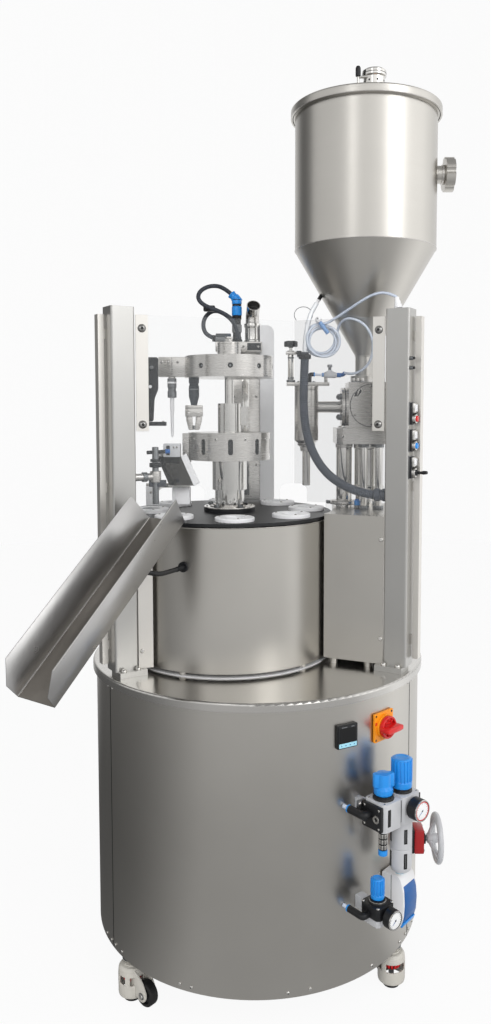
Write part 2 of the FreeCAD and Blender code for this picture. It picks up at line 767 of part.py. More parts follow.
def press_tool():
    ring = pole(UPPER_RING_R, TURRET_X, TURRET_Y, UPPER_RING_Z0 - 1, UPPER_RING_Z1 + 1)
    beam = box(BEAM_X0, TURRET_X, -BEAM_HALF, BEAM_HALF, UPPER_RING_Z0 + 1, UPPER_RING_Z1)
    beam = beam.cut(ring)
    press = pole(PRESS_R, PRESS_X, 0, PRESS_Z0, UPPER_RING_Z0 + 2)
    plunger = pole(PRESS_ROD_R, PRESS_X, 0, PRESS_ROD_Z0, PRESS_Z0 + 1)
    outline = [(STRAP_X0, UPPER_RING_Z1), (BEAM_X0 + 1, UPPER_RING_Z1), (BEAM_X0 + 1, 1312),
               (BEAM_X0 - 9, 1290), (BEAM_X0 - 12, STRAP_Z0), (STRAP_X0, STRAP_Z0)]
    strap = plate_xz(outline, -STRAP_THICK / 2, STRAP_THICK / 2)
    foot = box(STRAP_X0, BEAM_X0 + 19, -STRAP_THICK, STRAP_THICK, STRAP_Z0 - 10, STRAP_Z0 + 1)
    carrier = join(beam, press, plunger, strap, foot)
    drive = pole(JAW_DRIVE_R, JAW_DRIVE_X, 0, JAW_YOKE_Z1 + 20, UPPER_RING_Z0)
    taper = Part.makeCone(JAW_DRIVE_R - 5, JAW_DRIVE_R, 21, V(JAW_DRIVE_X, 0, JAW_YOKE_Z1 - 1), Z)
    reach = JAW_PIVOT_OFFSET + JAW_BOSS_R + 2
    inner = JAW_THICK / 2 + JAW_CHEEK_GAP
    outer = inner + JAW_CHEEK
    yoke = box(JAW_DRIVE_X - reach, JAW_DRIVE_X + reach, -outer, outer, JAW_YOKE_Z0, JAW_YOKE_Z1)
    parts = [drive, taper, yoke]
    for side in (-1, 1):
        low = side * inner if side > 0 else -outer
        parts.append(box(JAW_DRIVE_X - reach, JAW_DRIVE_X + reach, low, low + JAW_CHEEK,
                         JAW_PIVOT_Z - 8, JAW_YOKE_Z0 + 1))
        pin_x = JAW_DRIVE_X + side * JAW_PIVOT_OFFSET
        parts.append(rod(JAW_PIN_R, V(pin_x, -outer - 1, JAW_PIVOT_Z), Y, 2 * outer + 2))
    return group([carrier, join(*parts)])


def jaw(side):
    pivot_x = JAW_DRIVE_X + side * JAW_PIVOT_OFFSET
    half = JAW_THICK / 2
    boss = rod(JAW_BOSS_R, V(pivot_x, -half, JAW_PIVOT_Z), Y, JAW_THICK)
    outline = [(JAW_DRIVE_X + side * (x - JAW_DRIVE_X), z) for x, z in jaw_outline()]
    arm = plate_xz(outline, -half, half)
    hole = rod(JAW_PIN_R + PIN_FIT, V(pivot_x, -half - 1, JAW_PIVOT_Z), Y, JAW_THICK + 2)
    return join(boss, arm).cut(hole)


def jaw_outline():
    pivot_x = JAW_DRIVE_X + JAW_PIVOT_OFFSET
    return [(pivot_x - JAW_BOSS_R, JAW_PIVOT_Z), (pivot_x + JAW_BOSS_R, JAW_PIVOT_Z),
            (pivot_x + JAW_BOSS_R, JAW_PIVOT_Z - 18), (JAW_DRIVE_X + 12, JAW_BOTTOM),
            (JAW_DRIVE_X + 2, JAW_BOTTOM), (JAW_DRIVE_X + 2, JAW_BOTTOM + 8),
            (pivot_x - JAW_BOSS_R, JAW_PIVOT_Z - 18)]


def wall_direction(corner):
    along = V(WALL_JOINT_X, WALL_JOINT_Y, 0) - corner
    return along.normalize()


def left_corner():
    return post_point(POST_LEFT_X, POST_LEFT_Y, POST_LEFT_ANGLE, POST_W / 2, 0)


def right_corner():
    return post_point(POST_RIGHT_X, POST_RIGHT_Y, POST_RIGHT_ANGLE, -POST_W / 2, 0)


def on_wall(shape, corner):
    # A shape made with x along the wall from the post's corner, y = 0 on its front face.
    along = wall_direction(corner)
    placed = shape.copy()
    placed.rotate(V(0, 0, 0), Z, math.degrees(math.atan2(along.y, along.x)))
    placed.translate(corner)
    return placed


def wall_length(corner):
    return (V(WALL_JOINT_X, WALL_JOINT_Y, 0) - corner).Length


def post(x, y, angle, foot_side):
    z0 = DECK_Z + FOOT_H
    shell = box(-POST_W / 2, POST_W / 2, 0, POST_D, z0 - 1, POST_TOP)
    corners = [e for e in shell.Edges if e.Length > POST_TOP - z0]
    shell = shell.makeFillet(POST_ROUND, corners)
    hollow = box(-POST_W / 2 + POST_WALL, POST_W / 2 - POST_WALL, POST_WALL, POST_D - POST_WALL,
                 z0, POST_TOP - POST_WALL)
    middle = foot_side * FOOT_SHIFT
    foot = box(middle - FOOT_L / 2, middle + FOOT_L / 2, -FOOT_FRONT, POST_D - FOOT_BACK, DECK_Z, z0)
    return in_post(join(shell.cut(hollow), foot), x, y, angle)


def dome_bolts():
    bolts = []
    posts = ((POST_LEFT_X, POST_LEFT_Y, POST_LEFT_ANGLE, 1), (POST_RIGHT_X, POST_RIGHT_Y, POST_RIGHT_ANGLE, -1))
    for x, y, angle, side in posts:
        for u in (-14, 18):
            at = post_point(x, y, angle, side * (u + 4), -FOOT_FRONT / 2, DECK_Z + FOOT_H)
            bolts.append(bolt(at, Z, 6.0, 7.0))
    for corner, thick in ((left_corner(), STRIP_THICK), (right_corner(), STRIP_THICK)):
        along = wall_direction(corner)
        front = V(along.y, -along.x, 0) if corner.x < 0 else V(-along.y, along.x, 0)
        for z in (STRIP_Z0 + 14, PANE_TOP - 28):
            bolts.append(bolt(corner + along * (STRIP_W / 2 + 1) + front * thick + V(0, 0, z), front, 6.0, 4.0))
    corner = left_corner()
    along = wall_direction(corner)
    front = V(along.y, -along.x, 0)
    bolts.append(bolt(corner + along * 8 + V(0, 0, DECK_Z + SHEET_BOLT_UP), front, 5.0, 3.5))
    corner = right_corner()
    along = wall_direction(corner)
    front = V(-along.y, along.x, 0)
    for z in (BOX_Z0 + SHEET_BOLT_UP + 6, BOX_TOP - SHEET_BOLT_UP):
        bolts.append(bolt(corner + along * 6 + V(0, 0, z), front, 5.0, 3.5))
    for bearing in (SEAM_LEFT, SEAM_RIGHT):
        for side in (-1, 1):
            for z in (SKIRT_Z0 + 12, SKIRT_Z1 - 14):
                spot = bearing + side * 1.6
                bolts.append(bolt(polar(SKIRT_R, spot, z), outward(spot), 3.5, 2.5))
    for bearing in (-24.0, 17.0):
        bolts.append(bolt(polar(SKIRT_R, bearing, SKIRT_Z0 + 12), outward(bearing), 3.5, 2.5))
    return group(bolts)


def guard_strips():
    parts = []
    strip = box(1, 1 + STRIP_W, -STRIP_THICK, 0, STRIP_Z0, PANE_TOP)
    parts.append(on_wall(strip, left_corner()))
    mirrored = box(1, 1 + STRIP_W, 0, STRIP_THICK, STRIP_Z0, PANE_TOP)
    parts.append(on_wall(mirrored, right_corner()))
    sheet = box(0.5, LOWER_SHEET_W, 0, LOWER_SHEET_THICK, DECK_Z + FOOT_H + 0.3, BOX_TOP)
    parts.append(on_wall(sheet, left_corner()))
    for x, y, angle, side in ((POST_LEFT_X, POST_LEFT_Y, POST_LEFT_ANGLE, -1),
                              (POST_RIGHT_X, POST_RIGHT_Y, POST_RIGHT_ANGLE, 1)):
        near = POST_W / 2 + RAIL_OUT
        low, high = sorted((side * near, side * (near + RAIL_W)))
        rail = box(low, high, POST_D - RAIL_D, POST_D, RAIL_Z0, PANE_TOP)
        stubs = []
        for z in (RAIL_Z0 + 40, 1100, PANE_TOP - 40):
            s_low, s_high = sorted((side * POST_W / 2, side * (near + 1)))
            stubs.append(box(s_low, s_high, POST_D - RAIL_D + 4, POST_D - 4, z - 10, z + 10))
        parts.append(in_post(join(rail, *stubs), x, y, angle))
    return group(parts)


def arch(s, y0, y1):
    lower = box(s - ARCH_R, s + ARCH_R, y0, y1, PANE_Z0 - 30, ARCH_TOP - ARCH_R / 2)
    crown = box(s - ARCH_R / 2, s + ARCH_R / 2, y0, y1, PANE_Z0 - 30, ARCH_TOP)
    shape = lower.fuse(crown)
    for side in (-1, 1):
        shape = shape.fuse(rod(ARCH_R / 2, V(s + side * ARCH_R / 2, y0, ARCH_TOP - ARCH_R / 2), Y, y1 - y0))
    return shape


def guard_pane_left():
    length = wall_length(left_corner())
    pane = box(PANE_END_GAP, length - 1.5, 0, PANE_THICK, PANE_Z0, PANE_TOP)
    skirt = box(PANE_END_GAP, LOWER_SHEET_W, 0, PANE_THICK, BOX_TOP, PANE_Z0 + 1)
    pane = pane.fuse(skirt)
    pane = pane.cut(arch(ARCH_LEFT_S, -5, PANE_THICK + 5)).cut(arch(length, -5, PANE_THICK + 5))
    return on_wall(pane.removeSplitter(), left_corner())


def guard_pane_right():
    length = wall_length(right_corner())
    box_start = (right_corner() - V(BOX_FRONT_X, BOX_FRONT_Y, 0)).Length
    pane = box(PANE_END_GAP, length - 1.5, -PANE_THICK, 0, PANE_Z0, PANE_TOP)
    skirt = box(PANE_END_GAP, box_start - 3, -PANE_THICK, 0, BOX_TOP, PANE_Z0 + 1)
    pane = pane.fuse(skirt)
    pane = pane.cut(arch(length, -PANE_THICK - 5, 5))
    return on_wall(pane.removeSplitter(), right_corner())


def dosing_outline(inset):
    corner = right_corner()
    along = wall_direction(corner)
    front_right = corner + along * 13
    front_left = V(BOX_FRONT_X, BOX_FRONT_Y, 0)
    points = [front_left, front_right, V(BOX_SIDE_X, BOX_SIDE_Y0, 0), V(BOX_X1, BOX_SIDE_Y1, 0),
              V(BOX_X1, BOX_Y1, 0), V(BOX_X0, BOX_Y1, 0), V(BOX_X0, 0, 0)]
    face = Part.Face(Part.makePolygon(points + points[:1]))
    if inset:
        face = face.makeOffset2D(-inset)
    return face


def dosing_box():
    body = dosing_outline(0).extrude(V(0, 0, BOX_TOP - BOX_Z0))
    body.translate(V(0, 0, BOX_Z0))
    body = body.cut(pole(DRUM_R + BOX_DRUM_GAP, TURRET_X, TURRET_Y, BOX_Z0 - 1, BOX_TOP + 1))
    room = dosing_outline(BOX_WALL).extrude(V(0, 0, BOX_TOP - BOX_Z0))
    room.translate(V(0, 0, BOX_Z0 - BOX_WALL))
    room = room.cut(pole(DRUM_R + BOX_DRUM_GAP + BOX_WALL, TURRET_X, TURRET_Y, BOX_Z0 - 9, BOX_TOP + 1))
    shell = body.cut(room)
    corner = right_corner()
    along = wall_direction(corner)
    flange = box(0.5, 14, -BOX_WALL, 0, BOX_Z0, BOX_TOP)
    shell = shell.fuse(on_wall(flange, corner))
    right = BOX_X1 - BOX_FOOT_INSET
    back = BOX_Y1 - BOX_FOOT_INSET
    for x, y in ((BOX_FRONT_X + 23, BOX_FRONT_Y + 5), (BOX_FRONT_X + 97, BOX_FRONT_Y - 23),
                 (right, BOX_SIDE_Y1), (right, back), (BOX_X0 + BOX_FOOT_INSET + 1, back)):
        shell = shell.fuse(pole(BOX_FOOT_R, x, y, DECK_Z, BOX_Z0 + 30))
    return shell.removeSplitter()


def on_chute(shape):
    # A shape made with the chute running along -Y from the origin, its underside at z = 0.
    run = V(*CHUTE_END) - V(*CHUTE_TOP)
    placed = shape.copy()
    placed.rotate(V(0, 0, 0), X, math.degrees(math.atan2(-run.z, math.hypot(run.x, run.y))))
    placed.rotate(V(0, 0, 0), Z, math.degrees(math.atan2(run.y, run.x)) + 90)
    placed.translate(V(*CHUTE_TOP))
    return placed


def discharge_chute():
    length = (V(*CHUTE_END) - V(*CHUTE_TOP)).Length
    half = CHUTE_W / 2
    a = math.radians(CHUTE_SPLAY)
    out = CHUTE_WALL_H * math.sin(a)
    up = CHUTE_WALL_H * math.cos(a)
    t = CHUTE_SHEET
    section = [(-half - out, up), (-half, 0), (half, 0), (half + out, up),
               (half + out - t, up), (half - t, t), (-half + t, t), (-half - out + t, up)]
    corners = [V(p[0], 0, p[1]) for p in section]
    face = Part.Face(Part.makePolygon(corners + corners[:1]))
    tray = face.extrude(V(0, -length, 0))
    for side in (-1, 1):
        low, high = sorted((side * (half - 2), side * (half + out + 5)))
        wedge = [(-length - 1, up + 5), (-length - 1, up - CHUTE_CORNER), (-length + CHUTE_CORNER, up + 5)]
        corners = [V(low, p[0], p[1]) for p in wedge]
        cutter = Part.Face(Part.makePolygon(corners + corners[:1])).extrude(V(high - low, 0, 0))
        tray = tray.cut(cutter)
    return on_chute(tray)


def chute_arm():
    direction = outward(ARM_ROOT_BEARING)
    root = polar(DRUM_R, ARM_ROOT_BEARING, ARM_Z, turret())
    first = rod(ARM_R, root - direction * 6, direction, ARM_REACH + 6)
    knee = root + direction * ARM_REACH
    collar = rod(ARM_R + 6, root + direction * 0.1, direction, 5)
    inside = rod(ARM_R + 6, root - direction * (6 + DRUM_WALL), direction, 5)
    target = V(*CHUTE_TOP) + (V(*CHUTE_END) - V(*CHUTE_TOP)) * 0.13 + V(34, -23, 0)
    reach = target - knee
    second = rod(ARM_R, knee, reach, reach.Length)
    ball = Part.makeSphere(ARM_R + 1, knee)
    saddle = rod(ARM_R + 7, target - V(0, 0, 9), Z, 14)
    arm = join(first, collar, inside, ball, second, saddle)
    above = on_chute(box(-CHUTE_W / 2, CHUTE_W, -300, 300, 0, 200))
    return arm.cut(above)


def lift_actuator():
    tube = box(MAST_X0, MAST_X1, MAST_Y0, MAST_Y0 + MAST_DEPTH, DECK_Z + 9, MAST_TOP)
    room = box(MAST_X0 + MAST_WALL, MAST_X1 - MAST_WALL, MAST_Y0 + MAST_WALL, MAST_Y0 + MAST_DEPTH - MAST_WALL,
               DECK_Z + 10, MAST_TOP - 10)
    parts = [tube.cut(room)]
    parts.append(box(MAST_X0 - 20, MAST_X1 + 20, MAST_Y0 - 4, MAST_Y0 + MAST_DEPTH + 12, DECK_Z, DECK_Z + 10))
    head_top = MAST_TOP + MAST_HEAD_H
    parts.append(box(MAST_HEAD_X0, MAST_HEAD_X1, MAST_HEAD_Y0, MAST_Y0 + MAST_DEPTH, MAST_TOP - 1, head_top))
    parts.append(pole(CYLINDER_R, CYLINDER_X, CYLINDER_Y, head_top - 1, head_top + CYLINDER_H))
    spout_z = head_top + CYLINDER_H
    parts.append(pole(SPOUT_R, CYLINDER_X, CYLINDER_Y, spout_z - 1, spout_z + SPOUT_RISE))
    tilt = math.radians(SPOUT_TILT)
    lean = V(0.12, -math.sin(tilt), math.cos(tilt)).normalize()
    bend = V(CYLINDER_X, CYLINDER_Y, spout_z + SPOUT_RISE)
    parts.append(Part.makeSphere(SPOUT_R, bend))
    parts.append(rod(SPOUT_R, bend, lean, SPOUT_L))
    parts.append(box(MAST_HEAD_X0, MAST_HEAD_X0 + 39, MAST_HEAD_Y0, MAST_HEAD_Y0 + 38, head_top - 1, head_top + 22))
    parts.append(pole(12, BLUE_CAP_X, 246, head_top - 1, head_top + 112))
    socket = V(*CABLE_A_ROUTE[0])
    inlet = V(BLUE_CAP_X + 3, 249, head_top + 108)
    parts.append(rod(11, inlet, socket - inlet, (socket - inlet).Length))
    nipple = V(*CABLE_B_ROUTE[0])
    parts.append(rod(8, V(BLUE_CAP_X - 4, 247, nipple.z - 8), V(-0.8, 0, 0.6), 14))
    body = join(*parts)
    return body.cut(rod(SPOUT_R - SPOUT_WALL, bend, lean, SPOUT_L + 5))


def back_cover():
    outline = [(MAST_X1, COVER_Z0), (MAST_X1 + COVER_W, COVER_Z0), (MAST_X1 + COVER_W, COVER_TOP),
               (MAST_X1, COVER_TOP)]
    plate = plate_xz(outline, COVER_Y0, COVER_Y0 + COVER_DEPTH)
    corner = [e for e in plate.Edges
              if abs(e.CenterOfMass.x - MAST_X1 - COVER_W) < 0.1 and abs(e.CenterOfMass.z - COVER_TOP) < 0.1]
    plate = plate.makeFillet(COVER_ROUND, corner)
    head = box(MAST_HEAD_X0, MAST_HEAD_X1, MAST_HEAD_Y0, MAST_Y0 + MAST_DEPTH + 1, MAST_TOP - 1, MAST_TOP + MAST_HEAD_H)
    return plate.cut(head).cut(pole(CYLINDER_R + 1, CYLINDER_X, CYLINDER_Y, MAST_TOP, COVER_TOP + 1))


def tube_slide():
    a = math.radians(POST_LEFT_ANGLE)
    inner = post_point(POST_LEFT_X, POST_LEFT_Y, POST_LEFT_ANGLE, POST_W / 2, POST_D / 2, 1120)
    along = V(math.cos(a), math.sin(a), 0)
    arm = rod(8, inner, along, 58)
    flange = rod(14, inner, along, 5)
    knee = inner + along * 55
    post_bar = pole(9, knee.x, knee.y, 1060, 1184)
    cross = box(knee.x - 6, -170, knee.y, -62, 1160, 1172)
    block = box(-211, -173, -76, -52, 1158, 1188)
    low_bar = box(-252, -152, -66, -56, 1088, 1098)
    post_link = box(knee.x - 5, knee.x + 5, knee.y, -58, 1088, 1098)
    pad_left = box(-252, -226, -70, -44, 1048, 1092)
    pad_right = box(-192, -152, -74, -48, 1050, 1090)
    corners = [V(-227, -62, 1158), V(-173, -62, 1158), V(-140, -104, 1096), V(-194, -104, 1096)]
    face = Part.Face(Part.makePolygon(corners + corners[:1]))
    tray = face.extrude(V(0, 1.2, 1.6))
    wing = Part.Face(Part.makePolygon([V(-173, -62, 1158), V(-140, -104, 1096), V(-128, -104, 1104),
                                       V(-161, -62, 1166), V(-173, -62, 1158)])).extrude(V(1.2, 1.2, -1.0))
    return join(arm, flange, post_bar, cross, block, low_bar, post_link, pad_left, pad_right, tray, wing)


def dosing_pump():
    barrel = pole(PUMP_R, DOSE_X, DOSE_Y, PUMP_Z0, DOSE_PLATE_Z0)
    gland = pole(PUMP_R - 10, DOSE_X, DOSE_Y, PUMP_Z0 - 12, PUMP_Z0 + 1)
    shaft = pole(PUMP_ROD_R, DOSE_X, DOSE_Y, BOX_TOP, PUMP_Z0)
    solids = [join(barrel, gland, shaft)]
    tie = pole(TIE_R, TIE_X, DOSE_Y, BOX_TOP, DOSE_PLATE_Z0)
    clamp = pole(TIE_CLAMP_R, TIE_X, DOSE_Y, TIE_CLAMP_Z0, TIE_CLAMP_Z0 + TIE_CLAMP_H)
    wing = box(TIE_X - TIE_CLAMP_R - 11, TIE_X - TIE_CLAMP_R + 4, DOSE_Y - 7, DOSE_Y + 7,
               TIE_CLAMP_Z0, TIE_CLAMP_Z0 + TIE_CLAMP_H)
    solids.append(join(tie, clamp, wing))
    for sx in (-1, 1):
        for sy in (-1, 1):
            x = DOSE_X - 4 + sx * ROD_HALF_X
            y = DOSE_Y + sy * ROD_HALF_Y
            solids.append(pole(ROD_R, x, y, BOX_TOP, DOSE_PLATE_Z0))
    return group(solids)


def dosing_plate():
    plate = box(DOSE_PLATE_X0, DOSE_PLATE_X1, DOSE_PLATE_Y0, DOSE_PLATE_Y1, DOSE_PLATE_Z0, DOSE_PLATE_Z1)
    upright = [e for e in plate.Edges if abs(e.tangentAt(e.FirstParameter).z) > 0.9]
    return plate.makeChamfer(DOSE_PLATE_CHAMFER, upright)


def valve_block():
    y0 = DOSE_Y - VALVE_HALF_Y
    y1 = DOSE_Y + VALVE_HALF_Y
    parts = [box(VALVE_X0, VALVE_X1, y0, y1, DOSE_PLATE_Z1, VALVE_TOP)]
    mid = (VALVE_X0 + VALVE_X1) / 2
    parts.append(rod(VALVE_COVER_R, V(mid, y0 + 1, PIPE_Z + 3), V(0, -1, 0), VALVE_COVER_H + 1))
    parts.append(rod(VALVE_FLANGE_R, V(VALVE_X0 + 1, DOSE_Y, PIPE_Z), V(-1, 0, 0), VALVE_FLANGE_H + 1))
    parts.append(pole(FERRULE_R, HOPPER_X, HOPPER_Y, VALVE_TOP - 1, VALVE_TOP + FERRULE_H))
    for dy, dz in ((-27, -24), (-27, 24), (27, -24), (27, 24)):
        head = rod(5, V(VALVE_X0 - VALVE_FLANGE_H + 1, DOSE_Y + dy, PIPE_Z + dz), V(-1, 0, 0), 7)
        parts.append(head)
    body = join(*parts)
    body = body.cut(rod(PIPE_R - PIPE_WALL, V(VALVE_X0 + 40, DOSE_Y, PIPE_Z), V(-1, 0, 0), 60))
    return body.cut(pole(HOPPER_NECK_R - HOPPER_WALL, HOPPER_X, HOPPER_Y, PIPE_Z, VALVE_TOP + 10))


def fill_point():
    a = math.radians(HOLDER_START)
    return turret(HOLDER_PITCH_R * math.cos(a), HOLDER_PITCH_R * math.sin(a))


def filling_head():
    at = fill_point()
    flange_face = VALVE_X0 - VALVE_FLANGE_H
    parts = [
        pole(HEAD_R, at.x, at.y, HEAD_Z0, HEAD_Z1),
        pole(REDUCER_R, at.x, at.y, HEAD_Z0 - REDUCER_H, HEAD_Z0 + 1),
        pole(COLLAR_R, at.x, at.y, HEAD_Z0 - REDUCER_H - COLLAR_H, HEAD_Z0 - REDUCER_H + 1),
        rod(PIPE_R, V(at.x + 5, at.y, PIPE_Z), X, flange_face - at.x - 5),
        box(CROSS_BAR_X0, CROSS_BAR_X1, at.y - 12, at.y + 12, HEAD_Z1 - 1, HEAD_Z1 + CROSS_BAR_H),
        pole(ADJUSTER_R, ADJUSTER_X, at.y, HEAD_Z1, ADJUSTER_Z1),
        box(ADJUSTER_X - 12, ADJUSTER_X + 24, at.y - 10, at.y + 10, ADJUSTER_Z1, ADJUSTER_Z1 + ADJUSTER_CAP_H),
        pole(3.5, ADJUSTER_X, at.y, ADJUSTER_Z1, STAR_Z0 + 1),
        pole(STAR_R - 4, ADJUSTER_X, at.y, STAR_Z0, STAR_Z0 + STAR_H),
        pole(6, FLOW_VALVE_X0 + 8, at.y, HEAD_Z1, FLOW_VALVE_Z),
        rod(8, V(FLOW_VALVE_X0, at.y, FLOW_VALVE_Z), X, FLOW_VALVE_X1 - FLOW_VALVE_X0),
        rod(6, V(*TUBE_TAIL_ROUTE[-1]), V(FLOW_VALVE_X1 - 4, at.y, FLOW_VALVE_Z) - V(*TUBE_TAIL_ROUTE[-1]), 18),
    ]
    for i in range(5):
        lobe = polar(STAR_R - 5, 72 * i, 0, V(ADJUSTER_X, at.y, 0))
        parts.append(pole(5, lobe.x, lobe.y, STAR_Z0, STAR_Z0 + STAR_H))
    clip = box(ADJUSTER_X + 12, ADJUSTER_X + 24, -16, at.y - 9, ADJUSTER_Z1, ADJUSTER_Z1 + ADJUSTER_CAP_H)
    hose_end = V(*HOSE_ROUTE[-1])
    socket = pole(HOSE_R + 4, hose_end.x, hose_end.y, hose_end.z, hose_end.z + SOCKET_H)
    bridge = box(ADJUSTER_X + 14, hose_end.x, hose_end.y - 2, at.y - 9, hose_end.z + 6, hose_end.z + SOCKET_H)
    clip = clip.fuse(box(ADJUSTER_X + 14, ADJUSTER_X + 22, hose_end.y - 2, at.y - 9,
                         hose_end.z + 6, ADJUSTER_Z1 + 1))
    body = join(*parts, clip, socket, bridge)
    room = pole(NOZZLE_R + NOZZLE_FIT, at.x, at.y, HEAD_Z0 - 40, NOZZLE_ROOM)
    passage = rod(PIPE_R - PIPE_WALL, V(at.x + 9, at.y, PIPE_Z), X, 200)
    drop = pole(PIPE_R - PIPE_WALL, at.x, at.y, NOZZLE_ROOM - 1, PIPE_Z + 8)
    turn = rod(PIPE_R - PIPE_WALL, V(at.x, at.y, PIPE_Z), X, 12)
    return body.cut(room).cut(drop).cut(turn).cut(passage)


def nozzle():
    at = fill_point()
    tube = pole(NOZZLE_R, at.x, at.y, NOZZLE_TIP, NOZZLE_TOP)
    tip = [e for e in tube.Edges
           if e.Curve.TypeId == "Part::GeomCircle" and e.CenterOfMass.z < NOZZLE_TIP + 1]
    tube = tube.makeFillet(2.0, tip)
    return tube.cut(pole(NOZZLE_BORE, at.x, at.y, NOZZLE_TIP - 1, NOZZLE_TOP + 1))


def hopper_shell():
    base = VALVE_TOP + FERRULE_H
    w = HOPPER_WALL
    bead = HOPPER_R + HOPPER_BEAD
    barrel = revolve([(HOPPER_R - w, HOPPER_CONE_TOP), (HOPPER_R, HOPPER_CONE_TOP), (HOPPER_R, HOPPER_TOP - 8),
                      (bead, HOPPER_TOP - 8), (bead, HOPPER_TOP), (HOPPER_R - w, HOPPER_TOP)], HOPPER_X, HOPPER_Y)
    cone = revolve([(HOPPER_NECK_R - w, HOPPER_NECK_TOP), (HOPPER_NECK_R, HOPPER_NECK_TOP),
                    (HOPPER_R, HOPPER_CONE_TOP), (HOPPER_R - w, HOPPER_CONE_TOP)], HOPPER_X, HOPPER_Y)
    neck = pipe(HOPPER_NECK_R, HOPPER_NECK_R - w, HOPPER_X, HOPPER_Y, base, HOPPER_NECK_TOP)
    flange = pipe(FERRULE_R, HOPPER_NECK_R - w, HOPPER_X, HOPPER_Y, base, base + 7)
    port_x = HOPPER_X + HOPPER_R
    stub = rod(PORT_R, V(port_x - 6, HOPPER_Y, PORT_Z), X, PORT_L + 6)
    barrel = join(barrel, stub).cut(rod(PORT_R - w, V(port_x - 20, HOPPER_Y, PORT_Z), X, PORT_L + 30))
    cap_at = V(port_x + PORT_L, HOPPER_Y, PORT_Z)
    cap = rod(PORT_CAP_R, cap_at, X, PORT_CAP_H)
    for i in range(PORT_CAP_NOTCHES):
        a = math.radians(i * 360 / PORT_CAP_NOTCHES)
        reach = PORT_CAP_R + 5
        notch_at = cap_at + V(-1, reach * math.cos(a), reach * math.sin(a))
        cap = cap.cut(rod(9, notch_at, X, PORT_CAP_H + 2))
    return group([barrel, cone, join(neck, flange), cap])


def hopper_lid():
    z0 = HOPPER_TOP + LID_GAP
    top = z0 + LID_THICK
    plate = pole(LID_R, HOPPER_X, HOPPER_Y, z0, top)
    lip = pipe(LID_R, LID_LIP_R, HOPPER_X, HOPPER_Y, z0 - LID_LIP_DROP, z0 + 1)
    tower_x = HOPPER_X + LID_TURRET_X
    tower_top = top + LID_TURRET_H
    tower = pole(LID_TURRET_R - 2, tower_x, HOPPER_Y, top - 1, tower_top - 4)
    collar = pole(LID_TURRET_R, tower_x, HOPPER_Y, top + 18, top + 26)
    crown = pole(LID_TURRET_R, tower_x, HOPPER_Y, tower_top - 16, tower_top)
    stalk_x = tower_x + LID_STALK_X
    stalk_y = HOPPER_Y + LID_STALK_Y
    stalk = pole(LID_STALK_R, stalk_x, stalk_y, top - 1, tower_top + 4)
    stalk_cap = pole(LID_STALK_R + 3.5, stalk_x, stalk_y, tower_top - 14, tower_top + 6)
    arm = box(stalk_x - 2, tower_x, stalk_y - 2, stalk_y + 2, tower_top - 22, tower_top - 16)
    return join(plate, lip, tower, collar, crown, stalk, stalk_cap, arm)


def wall_box(s0, s1, n0, n1, z0, z1, bearing):
    return on_bearing(box(s0, s1, -n1, -n0, z0, z1), bearing)


def controller():
    half = GAUGE_SIDE / 2
    body = GAUGE_BODY / 2
    face = SKIRT_R + CONTROL_GAP
    bezel = wall_box(-half, half, face, face + GAUGE_BEZEL, GAUGE_Z - half, GAUGE_Z + half, GAUGE_BEARING)
    case = wall_box(-body, body, face - GAUGE_DEEP, face + 1, GAUGE_Z - body, GAUGE_Z + body, GAUGE_BEARING)
    return join(bezel, case)


def switch_plate():
    half = SWITCH_SIDE / 2
    body = SWITCH_BODY / 2
    face = SKIRT_R + CONTROL_GAP
    plate = wall_box(-half, half, face, face + SWITCH_PLATE, SWITCH_Z - half, SWITCH_Z + half, SWITCH_BEARING)
    case = wall_box(-body, body, face - SWITCH_DEEP, face + 1, SWITCH_Z - body, SWITCH_Z + body, SWITCH_BEARING)
    start = polar(face + SWITCH_PLATE - 1, SWITCH_BEARING, SWITCH_Z)
    collar = rod(SWITCH_COLLAR_R, start, outward(SWITCH_BEARING), SWITCH_COLLAR_H + 1)
    return join(plate, case, collar)


def switch_knob():
    start = SKIRT_R + CONTROL_GAP + SWITCH_PLATE + SWITCH_COLLAR_H + CONTROL_GAP
    disc = rod(SWITCH_KNOB_R, polar(start, SWITCH_BEARING, SWITCH_Z), outward(SWITCH_BEARING), SWITCH_KNOB_H)
    grip = wall_box(-SWITCH_KNOB_R - 2, SWITCH_KNOB_R + 2, start + SWITCH_KNOB_H - 1,
                    start + SWITCH_KNOB_H + SWITCH_GRIP_H, SWITCH_Z - SWITCH_GRIP_W / 2,
                    SWITCH_Z + SWITCH_GRIP_W / 2, SWITCH_BEARING)
    return join(disc, grip)


def air_point(s, n, z):
    a = math.radians(AIR_BEARING)
    along = V(math.cos(a), math.sin(a), 0)
    return along * s + outward(AIR_BEARING) * n + V(0, 0, z)


def air_pole(radius, s, n, z0, z1):
    at = air_point(s, n, z0)
    return rod(radius, at, Z, z1 - z0)


def dial(s, z, n0, radius, height):
    neck = rod(5, air_point(s, n0 - 1, z), outward(AIR_BEARING), height)
    case = rod(radius, air_point(s, n0 + 5, z), outward(AIR_BEARING), height - 5)
    return [neck, case]


def outside_skirt(shape):
    return shape.cut(pole(SKIRT_R + CONTROL_GAP, 0, 0, SKIRT_Z0, SKIRT_Z1))


